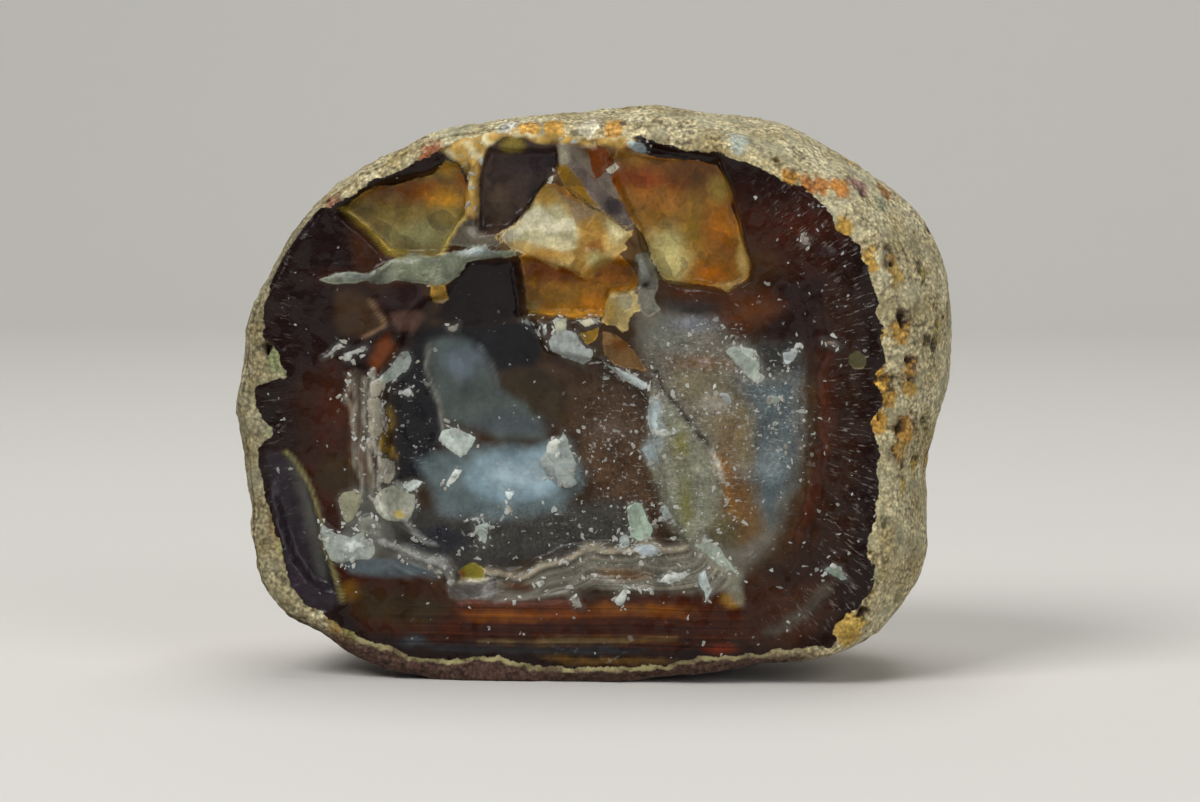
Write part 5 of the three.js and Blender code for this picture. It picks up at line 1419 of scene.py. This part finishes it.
def roughenRind(piece):
    # pits, grains and knobs of the rind as real form: points move along the normal where rindShare is 1
    sizes = {
        "Pit depth": rind["pitDepth"] * mm, "Grain height": rind["grainHeight"] * mm,
        "Knob height": rind["knobHeight"] * mm}
    tree, sockets, given = openTree("rind skin", sizes)
    place = addNode(tree, "GeometryNodeInputPosition", {}, {}).outputs[0]
    pit = pitNodes(tree, place)
    sunk = addNode(tree, "ShaderNodeMath", {"operation": "MULTIPLY"}, {
        0: pit, 1: given.outputs["Pit depth"]})
    hole = addNode(tree, "GeometryNodeInputNamedAttribute", {"data_type": "FLOAT"}, {"Name": "hole"})
    holeDepth = addNode(tree, "ShaderNodeMapRange", {"interpolation_type": "SMOOTHSTEP"}, {
        "Value": hole.outputs["Attribute"], "From Min": -0.2, "From Max": 0.3, "To Min": 0.0,
        "To Max": rind["holeDepth"] * mm})
    lift = addNode(tree, "ShaderNodeMath", {"operation": "MAXIMUM"}, {0: sunk, 1: holeDepth})
    for size, name in (("grain", "Grain height"), ("knob", "Knob height")):
        wave = addNode(tree, "ShaderNodeTexNoise", {}, {
            "Vector": place, "Scale": 1 / (rind[size] * mm), "Detail": 2.0})
        swing = addNode(tree, "ShaderNodeMath", {"operation": "SUBTRACT"}, {0: 0.5, 1: wave})
        lift = addNode(tree, "ShaderNodeMath", {"operation": "MULTIPLY_ADD"}, {
            0: swing, 1: given.outputs[name], 2: lift})
    # the flat underside stays flat
    height = addNode(tree, "ShaderNodeSeparateXYZ", {}, {"Vector": place})
    offGround = addNode(tree, "ShaderNodeMapRange", {}, {
        "Value": height.outputs["Z"], "From Min": 0.2 * mm, "From Max": 1 * mm, "To Min": 0.0,
        "To Max": -1.0})
    share = addNode(tree, "GeometryNodeInputNamedAttribute", {"data_type": "FLOAT"}, {"Name": "rindShare"})
    there = addNode(tree, "ShaderNodeMath", {"operation": "MULTIPLY"}, {
        0: share.outputs["Attribute"], 1: offGround})
    amount = addNode(tree, "ShaderNodeMath", {"operation": "MULTIPLY"}, {0: lift, 1: there})
    normal = addNode(tree, "GeometryNodeInputNormal", {}, {})
    offset = addNode(tree, "ShaderNodeVectorMath", {"operation": "SCALE"}, {
        0: normal.outputs[0], "Scale": amount})
    moved = addNode(tree, "GeometryNodeSetPosition", {}, {
        "Geometry": given.outputs["Geometry"], "Offset": offset})
    addNode(tree, "NodeGroupOutput", {}, {"Geometry": moved})
    makePlain(piece, tree, sockets, sizes)


# splinters left on the ledges and round the flakes: sizes in mm, per square mm where the share is 1
splinter = {
    "density": 2.2, "smallest": 0.05, "largest": 0.42, "seed": 5, "cloud": 2,
    "pull": 0.45, "lean": 0.5,  # how far corners are pulled out of shape, and radians off the surface
}


def makeSplinterMaterial():
    # Chalcedony splinters, fresh from the break: white where crushed, waxy, glinting on their flat sides
    material, tree = openMaterial("chalcedony, splintered")
    place = addNode(tree, "ShaderNodeTexCoord", {}, {}).outputs["Object"]
    tone = addNode(tree, "ShaderNodeTexNoise", {}, {
        "Vector": place, "Scale": 1 / (splinter["cloud"] * mm), "Detail": 5.0})
    colour = layColour(tree, linearColour("8c8678"), linearColour("c6c8c2"), tone, (0.35, 0.65), 1.0)
    shader = addNode(tree, "ShaderNodeBsdfPrincipled", {}, {
        "Base Color": colour, "Roughness": 0.4, "IOR": 1.54})
    addNode(tree, "ShaderNodeOutputMaterial", {}, {"Surface": shader})
    return material


def makeSplinters(ground):
    sizes = {
        "Density": splinter["density"] * 1e6, "Smallest": splinter["smallest"] * mm,
        "Largest": splinter["largest"] * mm}
    tree, sockets, given = openTree("splinters", sizes)
    chip = addNode(tree, "GeometryNodeInputNamedAttribute", {"data_type": "FLOAT"}, {"Name": "chip"})
    density = addNode(tree, "ShaderNodeMath", {"operation": "MULTIPLY"}, {
        0: chip.outputs["Attribute"], 1: given.outputs["Density"]})
    scatter = addNode(tree, "GeometryNodeDistributePointsOnFaces", {"distribute_method": "RANDOM"},
                      {"Mesh": given.outputs["Geometry"], "Density": density, "Seed": splinter["seed"]})
    # three shards: a ball of 20 faces pulled out of shape and flattened
    shards = addNode(tree, "GeometryNodeJoinGeometry", {}, {})
    for k in range(3):
        ball = addNode(tree, "GeometryNodeMeshIcoSphere", {}, {"Radius": 1.0, "Subdivisions": 1})
        pull = addNode(tree, "FunctionNodeRandomValue", {"data_type": "FLOAT_VECTOR"}, {
            "Min": (-splinter["pull"],) * 3, "Max": (splinter["pull"],) * 3, "Seed": 11 + k})
        bent = addNode(tree, "GeometryNodeSetPosition", {}, {
            "Geometry": ball.outputs["Mesh"], "Offset": pull})
        flatter = addNode(tree, "GeometryNodeTransform", {}, {
            "Geometry": bent, "Scale": (1.0, 0.55 + 0.1 * k, 0.4)})
        single = addNode(tree, "GeometryNodeGeometryToInstance", {}, {"Geometry": flatter})
        tree.links.new(single.outputs[0], shards.inputs[0])
    size = addNode(tree, "FunctionNodeRandomValue", {"data_type": "FLOAT"}, {
        "Min": given.outputs["Smallest"], "Max": given.outputs["Largest"], "Seed": 21})
    lean = splinter["lean"]
    spin = addNode(tree, "FunctionNodeRandomValue", {"data_type": "FLOAT_VECTOR"}, {
        "Min": (-lean, -lean, 0.0), "Max": (lean, lean, 6.28), "Seed": 22})
    turned = addNode(tree, "FunctionNodeRotateEuler", {"rotation_type": "EULER", "space": "LOCAL"}, {
        "Rotation": scatter.outputs["Rotation"], "Rotate By": spin})
    pick = addNode(tree, "FunctionNodeRandomValue", {"data_type": "INT"}, {"Min": 0, "Max": 2, "Seed": 23})
    placed = addNode(tree, "GeometryNodeInstanceOnPoints", {}, {
        "Points": scatter.outputs["Points"], "Instance": shards, "Pick Instance": True,
        "Instance Index": pick, "Rotation": turned, "Scale": size})
    real = addNode(tree, "GeometryNodeRealizeInstances", {}, {"Geometry": placed})
    dressed = addNode(tree, "GeometryNodeSetMaterial", {}, {
        "Geometry": real, "Material": splinteredChalcedony})
    addNode(tree, "NodeGroupOutput", {}, {"Geometry": dressed})
    piece = bpy.data.objects.new("splinters", ground.data.copy())
    bpy.context.scene.collection.objects.link(piece)
    makePlain(piece, tree, sockets, sizes)
    return piece


brokenChalcedony = makeBrokenChalcedony()
weatheredRind = makeWeatheredRind()
splinteredChalcedony = makeSplinterMaterial()
print("materials made")
geode = makeStone()
print("stone formed:", len(geode.data.polygons), "faces")
roughenRind(geode)
print("rind pitted")
splinters = makeSplinters(geode)
print("splinters scattered:", len(splinters.data.polygons), "faces")
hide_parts("geode_half")
for piece in (geode, splinters):
    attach(piece, "root")


# pale floor that curves up behind, and soft studio light

studio = {
    "floor": "d9d6d0", "world": "c8ccd2", "worldStrength": 0.1,
    "front": -1.2, "back": 0.5, "bend": 0.3, "top": 1.5, "halfWidth": 1.5,  # the floor, m
    "lights": [  # place in m, size in m, watts
        ("key", (-0.45, -0.55, 0.75), 0.5, 6.6),
        ("fill", (0.6, -0.6, 0.4), 0.6, 2.4),
        ("top", (0.05, 0.15, 0.8), 0.5, 3.0)],
}


def makeStudio():
    material = bpy.data.materials.new("studio paper, matt")
    material.use_nodes = True
    shader = material.node_tree.nodes["Principled BSDF"]
    shader.inputs["Base Color"].default_value = linearColour(studio["floor"])
    shader.inputs["Roughness"].default_value = 0.9
    back, bend, half = studio["back"], studio["bend"], studio["halfWidth"]
    profile = [(studio["front"], 0.0), (back, 0.0)]
    turns = np.linspace(0.1, math.pi / 2, 12)
    profile += [(back + bend * math.sin(a), bend - bend * math.cos(a)) for a in turns]
    profile += [(back + bend, studio["top"])]
    points = [(x, y, z) for x in (-half, half) for y, z in profile]
    n = len(profile)
    faces = [(i, n + i, n + i + 1, i + 1) for i in range(n - 1)]
    mesh = bpy.data.meshes.new("floor")
    mesh.from_pydata(points, [], faces)
    mesh.polygons.foreach_set("use_smooth", np.ones(len(faces), bool))
    mesh.materials.append(material)
    floor = bpy.data.objects.new("floor", mesh)
    bpy.context.scene.collection.objects.link(floor)
    for name, place, size, watts in studio["lights"]:
        data = bpy.data.lights.new(name, "AREA")
        data.size, data.energy = size, watts
        lamp = bpy.data.objects.new(name, data)
        lamp.location = place
        lamp.rotation_mode = "QUATERNION"
        lamp.rotation_quaternion = (Vector((0, 0, 0.03)) - Vector(place)).to_track_quat("-Z", "Y")
        bpy.context.scene.collection.objects.link(lamp)
    world = bpy.data.worlds.new("studio")
    world.use_nodes = True
    sky = world.node_tree.nodes["Background"]
    sky.inputs["Color"].default_value = linearColour(studio["world"])
    sky.inputs["Strength"].default_value = studio["worldStrength"]
    bpy.context.scene.world = world
    bpy.context.scene.view_settings.view_transform = "Standard"


makeStudio()
print("studio lit")
